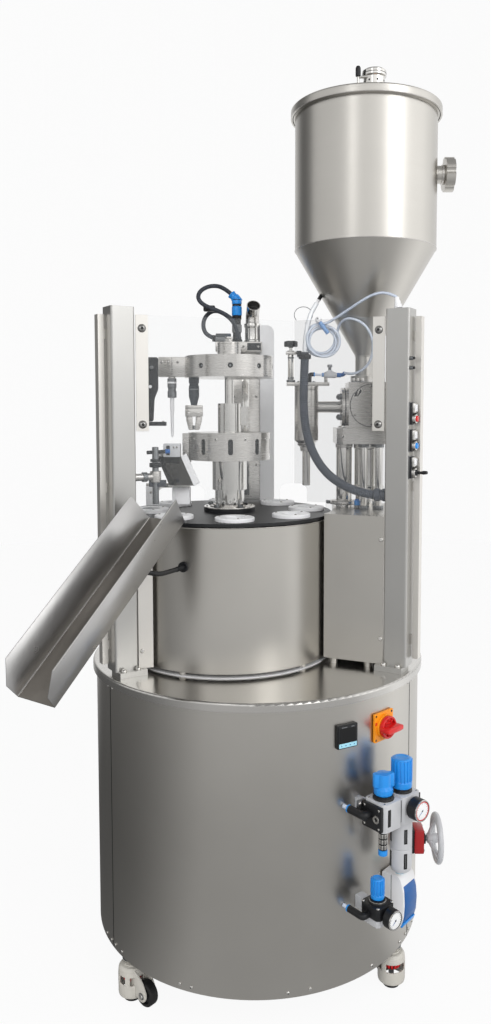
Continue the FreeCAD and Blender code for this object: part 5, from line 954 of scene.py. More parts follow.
def make_air_unit():
    """Main air service unit: die-cast body, end plates, metal bowl, silencer, gauge and supply elbow."""
    piece = Piece("air_unit_body")
    piece.put(extrude(cut_corners(-55, -1.6, -457, -401, 6), 440.2, 497), ALUMINIUM, AIR, 1.2)
    piece.put(extrude(cut_corners(-0.4, 53, -457, -401, 6), 440.2, 497), ALUMINIUM, AIR, 1.2)
    piece.put(block(-6, 4, -452, -406, 446, 491), GALVANISED, AIR, 0.8)
    for s in (-28, 26):
        piece.put(turned([(21.5, 494), (21.5, 499), (19.5, 501), (19.5, 505), (8, 505), (8, 511), (0, 511)],
                         0.6, 48), BLACK, AIR @ shift(s, -429, 0))
        for k in range(12):
            piece.put(block(19.3, 20.6, -1.6, 1.6, 501.5, 504.6), BLACK, AIR @ shift(s, -429,
                                                                                     0) @ turn(30 * k), 0.4)
    for s in (-48, 46):
        for n in (451, 409):
            dome_screw(piece, AIR @ shift(s, -n, 497), 2.6, 1.4)
    # End plates with their ports.
    piece.put(block(-62, -54.5, -454, -404, 444, 493), BLACK, AIR, 1.0)
    piece.put(block(52.5, 56.5, -453, -405, 446, 491), BLACK, AIR, 1.0)
    piece.put(ring(8, 4, 0, 2.2, 0.5, 32), POLISHED, AIR @ to_left(-62, -442, 468))
    # A dark disc in the port: painted shade inside it.
    piece.put(disc(4.1, 0, 1, 0.1, 24), DARK, AIR @ to_left(-62, -442, 468))
    for n, z in ((448, 450), (410, 450), (448, 487), (410, 487)):
        dome_screw(piece, AIR @ to_left(-62, -n, z), 2.4, 1.2)
    piece.put(block(-45, -37, -457.8, -456.4, 452, 486), DARK, AIR, 0.3)
    # Bowl guard with two sight slots, and the drain under it.
    piece.put(turned([(0, 328), (13, 328), (20, 333), (22.5, 342), (22.5, 378), (21.9, 379), (21.9, 381),
                      (22.5, 382), (22.5, 436), (20, 441), (0, 441)], 0.8, 64), ALUMINIUM, BOWL)
    # Each sight slot is a dark block: painted shade inside the guard.
    for z0, z1 in ((342, 374), (394, 424)):
        for angle in (-24, 66, 156, 246):
            slot_at = BOWL @ turn(angle)
            piece.put(block(-3.6, 3.6, -22.8, -21.4, z0, z1), DARK, slot_at, 0.3)
            piece.put(block(-0.7, 0.7, -22.95, -22.6, z0 + 3, z1 - 3), GALVANISED, slot_at)
    piece.put(turned([(0, 324), (3.4, 324), (3.4, 328), (7, 330), (7, 333), (0, 333)], 0.5, 28), BLUE, BOWL)
    # Silencer of the release valve.
    piece.put(disc(8.6, 392, 440.6, 0.5, 36), BLACK, SHUT_OFF)
    piece.put(disc(9.4, 380, 391, 1.5, 36), BLUE, SHUT_OFF)
    for row in range(4):
        for k in range(10):
            piece.put(block(8.0, 9.6, -1.9, 1.9, 394 + row * 11.4, 402.5 + row * 11.4), POLISHED,
                      SHUT_OFF @ turn(36 * k), 0.4)
    piece.put(disc(11, 436, 441, 0.8, 36), GALVANISED, SHUT_OFF)
    # Arms to the cabinet.
    for s in (-43, 41):
        piece.put(block(s - 8, s + 8, -402, -skin_depth(abs(s) + 8), 454, 485), ALUMINIUM, AIR, 1.0)
    piece.put(block(-70, -50, -402, -396, 470, 492), GALVANISED, AIR, 1.0)
    dome_screw(piece, AIR @ to_front(-66, -402, 487), 4.2, 3.0)
    make_gauge(piece, AIR @ to_front(24, -462, 474), 22, 24, RED)
    piece.put(disc(7, 0, 6, 0.6, 24), POLISHED, AIR @ to_front(24, -457, 474))
    start, knee = Vector((-62, -423, 472.5)), Vector((-77, -423, 472.5))
    end = Vector((-77, -skin_depth(77) - 0.2, 472.5))
    make_elbow(piece, AIR @ start, AIR @ knee, AIR @ end, 8.0)
    piece.finish("root", "anodised_aluminium", "air_unit_main")


def make_small_air_unit():
    """Small pressure regulator: black upper block over a die-cast one, with a gauge and an elbow."""
    piece = Piece("small_regulator_body")
    piece.put(extrude(cut_corners(-63, -13, -450, -400, 6), 262, 286), BLACK, AIR, 1.0)
    piece.put(extrude(cut_corners(-60, -16, -447, -403, 5), 246.2, 262.4), ALUMINIUM, AIR, 1.0)
    piece.put(block(-50, -26, -448.4, -446, 248, 261), ALUMINIUM, AIR, 1.0)
    for s, n in ((-58, 445), (-18, 445), (-58, 405), (-18, 405)):
        dome_screw(piece, AIR @ shift(s, -n, 286), 3.0, 2.0)
    piece.put(turned([(18, 284), (18, 288), (16.5, 290), (16.5, 293), (6, 293), (6, 299), (0, 299)], 0.6, 44),
              BLACK, SMALL_UNIT)
    piece.put(ring(17.2, 12, 289.5, 291, 0.3, 44), POLISHED, SMALL_UNIT)
    make_gauge(piece, AIR @ to_front(-38, -455, 268), 19.5, 19)
    piece.put(disc(6, 0, 6, 0.6, 24), POLISHED, AIR @ to_front(-38, -450, 268))
    start, knee = Vector((-62, -421, 266)), Vector((-76, -421, 266))
    end = Vector((-76, -skin_depth(76) - 0.2, 266))
    make_elbow(piece, AIR @ start, AIR @ knee, AIR @ end, 7.0)
    piece.put(block(-48, -28, -401, -skin_depth(48), 252, 280), ALUMINIUM, AIR, 1.0)
    piece.finish("root", "black_plastic", "air_unit_small")


def make_knobs():
    """Three bright blue knobs: a winged one for the shut-off and two fluted ones for the regulators."""
    winged = Piece("winged_knob")
    at = AIR @ shift(-28, -429, 505.3)
    winged.put(turned([(8.4, 0), (17.5, 0), (18.5, 4), (18.5, 12), (16, 15), (14.5, 17), (14.5, 42), (0, 43)],
                      0.9, 56), BLUE, at)
    wing = [(-21.8, -5), (-15, -8), (15, -8), (21.8, -5), (21.8, 5), (15, 8), (-15, 8), (-21.8, 5)]
    winged.put(extrude(rounded(wing, 3, True), 15.5, 42.7), BLUE, at @ turn(-28), 1.6)
    for k in range(14):
        winged.put(block(17.6, 19.2, -1.5, 1.5, 2, 12), BLUE, at @ turn(360 / 14 * k), 0.5)
    winged.finish("knob_winged", "blue_plastic", "air_knob_winged")
    for name, node, body, s, n, z, radius, height, flutes in (
            ("fluted_knob_main", "air_knob_main", "knob_main", 26, 429, 505.3, 22, 60, 18),
            ("fluted_knob_small", "air_knob_small", "knob_small", -38, 425, 293.3, 14.5, 42, 14)):
        knob = Piece(name)
        at = AIR @ shift(s, -n, z)
        knob.put(turned([(7, 0), (radius - 1.6, 0), (radius - 0.6, 2), (radius - 0.6, height * 0.2),
                         (radius - 2.2, height * 0.24), (radius - 2.2, height - 3), (radius - 4,
                                                                                     height - 0.6),
                         (radius * 0.55, height), (radius * 0.5, height - 1), (0, height - 1)], 0.8, 64),
                 BLUE, at)
        for k in range(flutes):
            knob.put(block(radius - 3, radius - 0.25, -1.5, 1.5, height * 0.22, height - 2.4), BLUE,
                     at @ turn(360 / flutes * k), 0.9)
        knob.finish(body, "blue_plastic", node)


def make_pressure_switch():
    """Electronic pressure switch: a white housing with a bowed blue cover."""
    piece = Piece("pressure_switch_case")
    place = turn(50)
    side = [(-375.6, 192), (-375.6, 305), (-414, 305), (-421, 297), (-427, 276), (-428.6, 248), (-427, 220),
            (-421, 200), (-414, 192)]
    piece.put(extrude(rounded(side, 5, True), -38, 14), WHITE, place @ SIDEWAYS, 2.2)
    cover = [(-418, 286), (-424.8, 285), (-429.6, 271), (-431.6, 248), (-429.8, 222), (-424.6, 204), (-421.5,
                                                                                                      198),
             (-417, 199)]
    piece.put(extrude(rounded(cover, 2.5, True), -33.5, 10), BLUE_DARK, place @ SIDEWAYS, 1.0)
    lip = [(-424.2, 207), (-427.6, 207), (-424.8, 198.6), (-421.2, 194.6), (-418.6, 196)]
    piece.put(extrude(rounded(lip, 1, True), -33.7, 10.2), BLUE, place @ SIDEWAYS, 0.6)
    piece.put(block(-38.4, 14.4, -399, -397.6, 194, 303), GALVANISED, place)
    half_disc = [(16 * math.cos(math.pi * k / 14), 16 * math.sin(math.pi * k / 14)) for k in range(15)]
    piece.put(extrude(half_disc, 0, 0.5), KEYS, place @ shift(-14, -403, 304.8) @ turn(180))
    piece.finish("root", "white_plastic", "pressure_switch")


def make_shutoff():
    """Red shut-off valve with its spindle, and the dished steel handwheel."""
    x0 = SKIN_R * math.sin(math.radians(55)) + 22.8
    y = -SKIN_R * math.cos(math.radians(55))
    piece = Piece("shutoff_body")
    piece.put(block(x0 + 7, x0 + 28, y - 20, y + 20, 319, 371), RED_PAINT, None, 2.5)
    piece.put(block(x0 - 12, x0 + 7.2, y - 19.5, y + 19.5, 320, 370), BLACK, None, 1.5)
    piece.put(block(x0 - 15, x0 - 11.6, y - 15, y + 15.5, 324, 366), ORANGE, None, 0.8)
    piece.put(disc(12, 0, 5, 1.0, 36), BLACK, to_right(x0 + 28, y, 345))
    piece.put(disc(6, 4, 33, 0.5, 28), GALVANISED, to_right(x0 + 28, y, 345))
    for dy in (-14, 14):
        for dz in (-20, 20):
            dome_screw(piece, to_right(x0 + 28, y + dy, 345 + dz), 3.0, 2.0)
    piece.finish("root", "red_paint", "shutoff_valve")

    wheel = Piece("dished_handwheel")
    at = to_right(x0 + 58, y, 345)
    wheel.put(wire_ring(46.5, 6.3, 72, 16), ALUMINIUM, at)
    wheel.put(lathe(rounded([(6.4, -21.5), (9, -21.5), (12, -17), (13, -10), (11, -4), (9, 3.6), (6.4, 3.6)],
                            0.8) + [(6.4, -21.5)], 40), ALUMINIUM, at)
    wheel.put(disc(5.6, 3.2, 4.0, 0.3, 24), GALVANISED, at)
    for k in range(3):
        spoke = at @ turn(90 + 120 * k)
        points = [Vector((8, 0, -14)), Vector((20, 0, -12)), Vector((34, 0, -5)), Vector((45, 0, 0))]
        wheel.put(tube(points, [6.5, 4.6, 4.0, 4.6], 16), ALUMINIUM, spoke)
    wheel.finish("valve_wheel", "satin_stainless", "handwheel")


def make_controller():
    """Black panel controller with a dark screen and a pale blue row of keys."""
    piece = Piece("panel_controller")
    at = on_skin(28.8, SKIN_R + 0.3, 617)
    piece.put(extrude(rounded([(-24, -24), (24, -24), (24, 24), (-24, 24)], 2.5, True), 0, 6.4), BLACK, at,
              0.8)
    piece.put(extrude(rounded([(-22.4, -22.4), (22.4, -22.4), (22.4, 22.4), (-22.4, 22.4)], 2.5, True), 6, 8),
              BLACK, at, 0.6)
    piece.put(block(-19, 19, -11.5, 17.5, 7.7, 8.15), SCREEN, at)
    piece.put(block(-21, 21, -21.4, -12.6, 7.7, 8.2), KEYS, at)
    for k in range(4):
        piece.put(extrude([(-1.6, -1.3), (1.6, -1.3), (0, 1.5)], 8.1, 8.35), BLUE_DARK,
                  at @ shift(-15 + 10 * k, -17, 0))
    piece.put(block(-15, -2, 18.6, 20.4, 7.7, 8.1), GALVANISED, at)
    piece.put(block(8, 15, 18.6, 20.4, 7.7, 8.1), GALVANISED, at)
    piece.put(block(-22, 22, -22, 22, -50, 0.4), BLACK, at, 1.0)
    piece.finish("root", "black_plastic", "controller")


def make_main_switch():
    """Orange plate of the main switch, and its red rotary handle with a ring and a grip."""
    plate = Piece("switch_base")
    at = on_skin(44, SKIN_R + 0.3, 615)
    plate.put(extrude(rounded([(-30, -30), (30, -30), (30, 30), (-30, 30)], 3, True), 0, 5), ORANGE, at, 1.0)
    plate.put(ring(25, 20, 4.6, 10.6, 1.0, 56), ORANGE, at)
    plate.put(disc(20.5, 4.6, 8.6, 0.4, 48), ORANGE, at)
    # Dark discs at the corners: painted shade in the screw holes.
    for x in (-25, 25):
        for y in (-25, 25):
            plate.put(disc(2.4, 4.9, 5.2, 0.1, 20), DARK, at @ shift(x, y, 0))
    plate.put(block(-28, -23, 6, 12, 4.9, 5.3), RED, at)
    plate.put(block(-25, 25, -25, 25, -40, 0.4), BLACK, at, 1.0)
    plate.finish("root", "orange_plastic", "switch_plate")
    knob = Piece("switch_handle_grip")
    at = on_skin(44, SKIN_R + 11.6, 615)
    knob.put(ring(23, 18.5, 0, 9, 1.6, 64), RED, at)
    knob.put(disc(19, 0, 4.0, 0.8, 56), RED, at)
    grip = [(-24.8, -4.5), (-16, -6), (16, -6), (24.8, -4.5), (24.8, 4.5), (16, 6), (-16, 6), (-24.8, 4.5)]
    knob.put(extrude(rounded(grip, 2.5, True), 3.5, 25.8), RED, at, 1.8)
    for angle in (50, 90, 130, 230, 270, 310):
        knob.put(block(12, 19.2, -1.4, 1.4, 3.6, 7.4), RED, at @ turn(angle), 0.5)
    knob.finish("switch_handle", "red_plastic", "switch_knob")


def make_post_units():
    """Push-button units on the right post, the hose gland and the nipple of the air tube."""
    post_at = in_post(*POST_RIGHT)
    piece = Piece("post_push_buttons")
    for z, dot in ((1256, RED), (1199, BLUE), (1142, BLACK)):
        spot = post_at @ shift(26, 0, z)
        button = post_at @ to_right(26, 16, z - 11)
        piece.put(block(0, 1.6, 4.6, 27.4, -24.5, 24.5), GALVANISED, spot, 0.5)
        piece.put(block(1.2, 6.5, 6, 26, -23, 23), BLACK, spot, 1.2)
        piece.put(block(6, 11.5, 7.2, 24.8, 1.5, 22), POLISHED, spot, 1.4)
        piece.put(block(11, 13.6, 8.6, 23.4, 4, 19.5), WHITE, spot, 1.2)
        piece.put(ring(10, 6.4, 6, 13.5, 1.0, 40), POLISHED, button)
        piece.put(disc(6.6, 10, 16.5, 1.6, 32), dot, button)
    lever = [Vector((40, 16, 1131)), Vector((50, 16, 1131)), Vector((56, 15, 1131.5)), Vector((64, 14, 1132))]
    piece.put(tube(lever, [3.0, 3.0, 4.2, 3.4], 18), BLACK, post_at)
    piece.finish("root", "black_plastic", "control_units")

    gland = Piece("hose_gland")
    outlet = Vector((256, -137, 1079))
    inner = post_at @ Vector((-26, 30, 1079))
    way = inner - outlet
    gland.put(lathe(rounded([(10.2, 0.6), (13, 0.6), (13.9, 4), (13.9, 12), (12, 14), (12, 18), (14, 20),
                             (14, way.length - 1.2), (10, way.length - 1.2)], 0.7) + [(10.2, 0.6)], 40),
              HOSE, facing(way, outlet))
    for k in range(10):
        gland.put(block(13.0, 14.4, -1.7, 1.7, 3.5, 12), HOSE, facing(way, outlet) @ turn(36 * k), 0.5)
    gland.finish("root", "black_plastic")
    nipple = Piece("tube_nipple")
    top = Vector((297, -166, 1502))
    base = Vector((301, -171, 1477))
    nipple.put(turned([(0, 0.4), (8.5, 0.4), (8.5, 8), (6.4, 10), (6.4, 16), (5, 18), (5, 24), (3.2, 25.5),
                       (0, 25.5)], 0.8, 32), WHITE, facing(top - base, base))
    nipple.finish("root", "white_plastic")


def make_pump():
    """Dosing pump: polished barrel, piston rod, tie rods with nuts, and the column with its clamp."""
    piece = Piece("pump_columns")
    barrel = shift(262, 20, 0)
    piece.put(turned([(0, 1186), (36, 1186), (36, 1174), (34, 1172), (34, 1089), (36, 1087), (36, 1075),
                             (0, 1075)], 0.8, 72), POLISHED, barrel)
    piece.put(turned([(0, 1075), (26, 1075), (26, 1068), (21, 1063), (0, 1063)], 0.8, 56), SATIN, barrel)
    piece.put(disc(10, 1035, 1064, 0.4, 36), POLISHED, barrel)
    for x in (245, 279):
        for y in (-33, 73):
            piece.put(disc(8, BOX_Z, 1186, 0.5, 36), POLISHED, shift(x, y, 0))
            hex_nut(piece, shift(x, y, 1035.3), 12.5, 8, GALVANISED)
            hex_nut(piece, shift(x, y, 1178), 12.5, 7.7, GALVANISED)
    column = shift(204, 20, 0)
    piece.put(disc(18.5, 1052, 1186, 0.6, 64), POLISHED, column)
    piece.put(disc(20.5, 1176, 1186, 0.8, 64), SATIN, column)
    piece.put(disc(18.5, BOX_Z, 1042, 0.6, 64), POLISHED, column)
    # Two-bolt pipe clamp with a wing nut.
    band = rounded([(18.2, 1040.6), (29, 1041.4), (31, 1043.5), (31, 1049.5), (29, 1051.6), (18.2, 1052.4)],
                   0.8, True)
    piece.put(lathe(band + [(18.2, 1040.6)], 72), SATIN, column)
    piece.put(block(171, 182, 9, 31, 1042, 1051), SATIN, None, 1.2)
    piece.put(block(226, 237, 12, 28, 1042, 1051), SATIN, None, 1.2)
    piece.put(disc(3, 0, 15, 0.4, 20), GALVANISED, to_left(177, 20, 1046.5))
    wing = [(-7, -3.2), (-3, -4), (3, -4), (7, -3.2), (7, 3.2), (3, 4), (-3, 4), (-7, 3.2)]
    piece.put(extrude(rounded(wing, 1.5, True), 3, 14), GALVANISED, to_left(177, 20, 1046.5), 1.0)
    for y in (12, 28):
        piece.put(tube([Vector((170, 20, 1046.5)), Vector((166, y, 1047.5)), Vector((162.5,
                                                                                     y + (y - 20) * 0.1,
                                                                                     1048))], [3.4, 3.0, 2.0],
                       14), GALVANISED)
    # Small drain elbow between the column and the barrel.
    piece.put(disc(6.2, 1035.3, 1043, 0.8, 28), GALVANISED, shift(232, -18, 0))
    piece.put(disc(7.2, 1043, 1054, 0.9, 28), BLUE, shift(232, -18, 0))
    piece.put(disc(5.0, 1054, 1058, 0.9, 28), BLUE_DARK, shift(232, -18, 0))
    piece.put(disc(5.2, 0, 12, 0.6, 24), WHITE, facing((1, -0.1, 0), (238, -18, 1048)))
    piece.finish("root", "polished_stainless", "dosing_pump")


def make_valve_details():
    """Valve block: a painted shadow line for the groove round its front cover, painted shade in its sight
    slot, and the bolts of both flanges.
    """
    piece = Piece("valve_block_details")
    front = to_front(262, -28, 1274)
    # A dark ring: painted shadow in the groove round the front cover.
    piece.put(ring(49.4, 47.9, -0.6, 0.4, 0.15, 96), DARK, front)
    slot_at = to_front(231, -32, 1304) @ turn(-38)
    # Painted shade inside the sight slot.
    piece.put(extrude(capsule(10.5, 19), -1, 0.25), DARK, slot_at)
    piece.put(extrude(capsule(12.6, 21), -1.4, 0.12), POLISHED, slot_at)
    piece.put(tube([Vector((2, -6, 0)), Vector((-1, 0, 3)), Vector((-2, 7, 2))], [1.6, 2.2, 1.6], 14),
              POLISHED, slot_at)
    piece.put(disc(1.4, -0.4, 0.3, 0.1, 16), DARK, to_front(262, -32, 1274))
    side = to_left(196, 20, 1271)
    for dy in (-27, 27):
        for dz in (-24, 24):
            bolt = to_left(196, 20 + dy, 1271 + dz)
            hex_nut(piece, bolt, 8.0, 6.0, GALVANISED)
            dome_screw(piece, bolt @ shift(0, 0, 6.0), 4.8, 3.0, GALVANISED)
    # A dark ring behind the side flange: painted shade in the gap.
    piece.put(ring(45.4, 41, -9.0, -6.6, 0.4, 96), DARK, side)
    piece.put(ring(19, 13.4, -0.2, 2.4, 0.8, 56), SATIN, side)
    for x in (222, 232, 242):
        piece.put(disc(3.4, 1328, 1337, 0.8, 24), POLISHED, shift(x, -16, 0))
        piece.put(disc(4.6, 1328, 1330.5, 0.5, 24), GALVANISED, shift(x, -16, 0))
    # Dark dots: painted shade in six holes round the front cover.
    for bearing in (-60, 0, 60, 120, 180, 240):
        spot = outward(bearing, 44)
        piece.put(disc(1.6, 0, 0.3, 0.1, 16), DARK, to_front(262 + spot.x, -32, 1274 + spot.y))
    piece.finish("root", "satin_stainless")

    plate = Piece("dosing_plate_bolts")
    for x, y in ((200, -38), (314, -38), (200, 78), (314, 78)):
        dome_screw(plate, shift(x, y, 1222), 6.0, 4.0)
    for x in (196, 318):
        dome_screw(plate, to_front(x, -55, 1204), 4.0, 2.4)
    plate.finish("root", "polished_stainless")


def make_filling_head():
    """Filling head on its cross pipe, with the stroke adjuster, the hose clamp and the flow control valve."""
    piece = Piece("filling_head_body")
    at = shift(FILL.x, FILL.y, 0)
    piece.put(turned([(0, 1320), (28, 1320), (28, 1311), (27.3, 1310.4), (27.3, 1309.6), (28, 1309), (28,
                                                                                                      1193),
                      (20.5, 1186), (20.5, 1181), (15, 1177), (14, 1167), (9.7, 1167)], 0.7, 80), SATIN, at)
    # A dark band: painted shade in a groove round the lower neck.
    piece.put(ring(20.9, 19.8, 1182.6, 1184.2, 0.2, 64), DARK, at)
    piece.put(tube([Vector((140, 20, 1271)), Vector((196, 20, 1271))], 13.5, 48), SATIN)
    piece.put(wire_ring(14.2, 1.5, 48), SATIN, to_right(FILL.x + 26.5, 20, 1271))
    piece.put(block(68, 168, 8, 32, 1320.2, 1329), SATIN, None, 1.6)
    for x in (96, 132):
        dome_screw(piece, shift(x, 20, 1329), 4.2, 2.8)
    # Adjuster with its threaded rod, neck and star knob.
    rod = shift(78, 20, 0)
    hex_nut(piece, rod @ shift(0, 0, 1329.2), 10.5, 5.5, GALVANISED)
    piece.put(disc(7, 1329, 1393.2, 0.5, 40), POLISHED, rod)
    for z in (1337, 1384):
        piece.put(ring(7.6, 6.4, z, z + 3.5, 0.4, 40), GALVANISED, rod)
    piece.put(block(66, 102, 10, 30, 1393, 1400), SATIN, None, 1.2)
    piece.put(ring(8.5, 3.6, 1400, 1402.6, 0.5, 32), POLISHED, rod)
    piece.put(disc(3.6, 1399, 1412, 0.4, 24), POLISHED, rod)
    star = [(12.5 + 4.0 * max(0.0, math.cos(2.5 * a) ** 2),
             a) for a in (2 * math.pi * k / 80 for k in range(80))]
    outline = [(r * math.cos(a), r * math.sin(a)) for r, a in star]
    piece.put(extrude(outline, 1411.4, 1424.8), BLACK, rod @ turn(18), 2.2)
    piece.put(disc(5.5, 1409, 1412, 0.5, 28), BLACK, rod)
    piece.put(disc(4.6, 1424, 1425, 0.3, 28), GALVANISED, rod)
    # Clamp on the conduit.
    piece.put(block(90, 102, -14, 11, 1393.2, 1400), BLACK, None, 1.2)
    piece.put(block(92, 100, -24, 11, 1386.4, 1394), BLACK, None, 1.0)
    grip = shift(109, -22, 0)
    piece.put(ring(14, 8, 1380.4, 1391, 1.2, 44), BLACK, grip)
    for k in range(12):
        piece.put(block(13.2, 14.3, -1.5, 1.5, 1381.5, 1390), BLACK, grip @ turn(30 * k), 0.4)
    piece.put(disc(9.4, 1379.6, 1396, 0.8, 36), CABLE, grip)
    # Flow control valve on its post, between its two push-in ends.
    piece.put(disc(4.4, 1329, 1343, 0.8, 28), BLACK, shift(122, 14, 0))
    knee = [Vector((122, 14, 1339)), Vector((122, 14, 1347)), Vector((131, 14, 1347))]
    piece.put(tube(rounded(knee, 5, steps=4), 4.8, 24), BLACK)
    piece.put(disc(5.2, 0, 3.0, 0.5, 28), BLUE, to_right(131, 14, 1347))
    piece.put(disc(2.6, 2, 18, 0.3, 24), TUBING, facing((1, 0, -0.08), (131, 14, 1347)))
    along = facing((1, 0, -0.02), (150, 14, 1346))
    piece.put(disc(4.8, 0, 6, 0.6, 28), BLUE_PALE, along)
    piece.put(turned([(0, 5), (5.2, 5), (7.0, 9), (7.0, 31), (5.2, 36), (0, 36)], 0.8, 36), ALUMINIUM, along)
    piece.put(disc(5.4, 35, 45, 0.7, 28), BLUE_DARK, along)
    wedge = [(155, 1341), (183, 1341), (178, 1353), (172, 1357), (166, 1357), (160, 1353)]
    piece.put(extrude(rounded(wedge, 2, True), -21, -7), ALUMINIUM, UPRIGHT, 1.2)
    piece.put(disc(3.6, 1356, 1364, 0.6, 28), GALVANISED, shift(169, 14, 0))
    piece.put(disc(5.4, 1363, 1370, 1.0, 28), ALUMINIUM, shift(169, 14, 0))
    for k in range(12):
        piece.put(block(5.0, 5.8, -0.7, 0.7, 1364, 1369), GALVANISED, shift(169, 14, 0) @ turn(30 * k), 0.2)
    piece.put(disc(4, 1329, 1343, 0.5, 24), SATIN, shift(160, 14, 0))
    elbow = [Vector((192, 14, 1345.4)), Vector((200, 13, 1346)), Vector((203, 6.4, 1349.4))]
    piece.put(tube(rounded(elbow, 5, steps=4), 4.6, 24), BLUE_DARK)
    piece.finish("root", "satin_stainless", "filling_head")


def make_level_probe():
    """Slim level probe in a clear sleeve, held by a wire bail beside the hopper's cone."""
    piece = Piece("level_probe")
    foot = Vector((109, -22, 1394))
    middle = Vector((113, -16, 1446))
    top = Vector((151, 14, 1534))
    sleeve = [foot, foot + Vector((0.5, 0.4, 20)), middle, Vector((122, -8, 1484)), Vector((137, 3, 1510))]
    piece.put(tube(rounded(sleeve, 14, steps=4), 5.4, 24), SLEEVE)
    way = top - sleeve[-1]
    piece.put(tube([sleeve[-1], sleeve[-1] + way * 0.3, sleeve[-1] + way * 0.32], [3.6, 3.6, 4.4], 20), WHITE)
    piece.put(tube([sleeve[-1] + way * 0.32, sleeve[-1] + way * 0.92, top], [4.4, 4.4, 3.4], 20), BLACK)
    piece.put(ring(5.4, 3.6, 0, 3, 0.5, 24), POLISHED, facing(way, top - way * 0.12))
    piece.put(wire_ring(6.5, 1.4, 28, 8), POLISHED, facing((0.3, -1, 0.2), top + Vector((1, -2, 5))))
    bail = []
    for k in range(29):
        a = math.radians(-40 + 300 * k / 28)
        bail.append(Vector((106 - 21 * math.cos(a), -9 + 3 * math.sin(a), 1482 + 19 * math.sin(a))))
    piece.put(tube(bail, 0.8, 8), GALVANISED)
    piece.finish("root", "clear_tube")

    link = Piece("tube_connector")
    start, end = Vector((143, -37, 1462)), Vector((161, -38, 1437))
    link.put(disc(4.8, 0, (end - start).length, 1.2, 28), BLUE_PALE, facing(end - start, start))
    link.put(ring(5.6, 4.4, 8, 13, 0.6, 28), BLUE_PALE, facing(end - start, start))
    link.put(disc(3.8, -4, 1, 0.8, 24), BLUE_DARK, facing(end - start, start))
    ball = [(7.6 * math.cos(a),
             7.6 * math.sin(a)) for a in (-math.pi / 2 + math.pi * k / 14 for k in range(15))]
    link.put(lathe([(max(r, 0.0), z) for r, z in ball], 36), WHITE, shift(139, -36, 1468))
    link.put(disc(2.2, 6.9, 8.0, 0.3, 20), GALVANISED, facing((-0.3, -1, 0.3), (139, -36, 1468)))
    link.finish("root", "blue_plastic")


def make_hopper_details():
    """Weld seams of the hopper and its neck, and the socket of its port."""
    piece = Piece("hopper_seams")
    at = shift(HOPPER.x, HOPPER.y, 0)
    piece.put(wire_ring(163.0, 1.0, 144, 10), SATIN, at @ shift(0, 0, 1632))
    piece.put(wire_ring(21.4, 1.3, 56, 10), SATIN, at @ shift(0, 0, 1388.5))
    piece.put(wire_ring(21.2, 1.2, 56, 10), SATIN, at @ shift(0, 0, 1343.5))
    piece.put(wire_ring(20.4, 1.6, 56, 10), SATIN, to_right(412.4, 20, PORT_Z))
    piece.put(ring(22, 19.6, 424, 430.6, 0.8, 56), SATIN, to_right(0, 20, PORT_Z))
    seam = outward(150, 163.2)
    piece.put(tube([HOPPER + seam + Vector((0, 0, z)) for z in (1633, 1700, 1800, 1900, 1930)], 0.7, 8),
              SATIN)
    piece.finish("root", "brushed_stainless")


def make_lid():
    """Pressed lid with a rolled lip, the level sensor's tower and a black-tipped pin."""
    lid = Piece("hopper_lid_cover")
    at = shift(HOPPER.x, HOPPER.y, 0)
    profile = [(168.6, 1930.4), (172.8, 1930.4), (172.8, 1946.5), (170.5, 1949.1), (150, 1949.1), (40,
                                                                                                   1949.3),
               (0, 1949.3)]
    under = [(0, 1940.4), (168.6, 1940.4), (168.6, 1930.4)]
    lid.put(lathe(rounded(profile, 1.2) + under[::-1][1:], 144), STEEL, at)
    lid.put(wire_ring(172.0, 1.0, 144, 10), SATIN, at @ shift(0, 0, 1931.4))
    lid.finish("lid", "brushed_stainless", "hopper_lid")

    tower = Piece("level_sensor_tower")
    base = shift(268, 20, 0)
    tower.put(ring(30, 25, 1949.4, 1953.4, 1.0, 64), SATIN, base)
    tower.put(turned([(0, 1950), (24.4, 1950), (24.4, 1966), (28, 1967), (28, 1975), (24.6, 1976), (24.6,
                                                                                                    2022),
                      (28, 2024), (28, 2036), (25, 2039), (0, 2039)], 0.9, 72), POLISHED, base)
    # Dark ring and dots: painted shade in a groove and in small holes of the tower.
    tower.put(ring(28.2, 27.4, 2029, 2030.2, 0.1, 72), DARK, base)
    for k in range(8):
        tower.put(disc(2.2, -0.6, 0.4, 0.3, 16), DARK, base @ turn(45 * k + 12) @ to_right(24.5, 0, 2012))
    tower.put(disc(6.4, -1, 1.4, 0.6, 32), ORANGE, facing((0.12, -1, 0), (271, -4.6, 1990)))
    tower.put(tube([Vector((266, 2, 2020)), Vector((248, 5, 2020)), Vector((233, 8, 2020))], [3.4, 3.4, 3.0],
                   18), POLISHED)
    tower.put(disc(2.6, 1949.4, 2027, 0.4, 24), POLISHED, shift(230, 8, 0))
    tower.put(turned([(0, 2022), (5.8, 2022), (6.0, 2026), (6.0, 2040), (4, 2044.6), (0, 2044.8)], 1.2, 32),
              BLACK, shift(230, 8, 0))
    tower.put(disc(6.2, 1949.4, 1953, 0.8, 28), GALVANISED, shift(230, 8, 0))
    tower.finish("lid", "polished_stainless")


CHUTE_TOP = Vector((-181, -260, 1040))
CHUTE_END = Vector((-374, -538, 759))


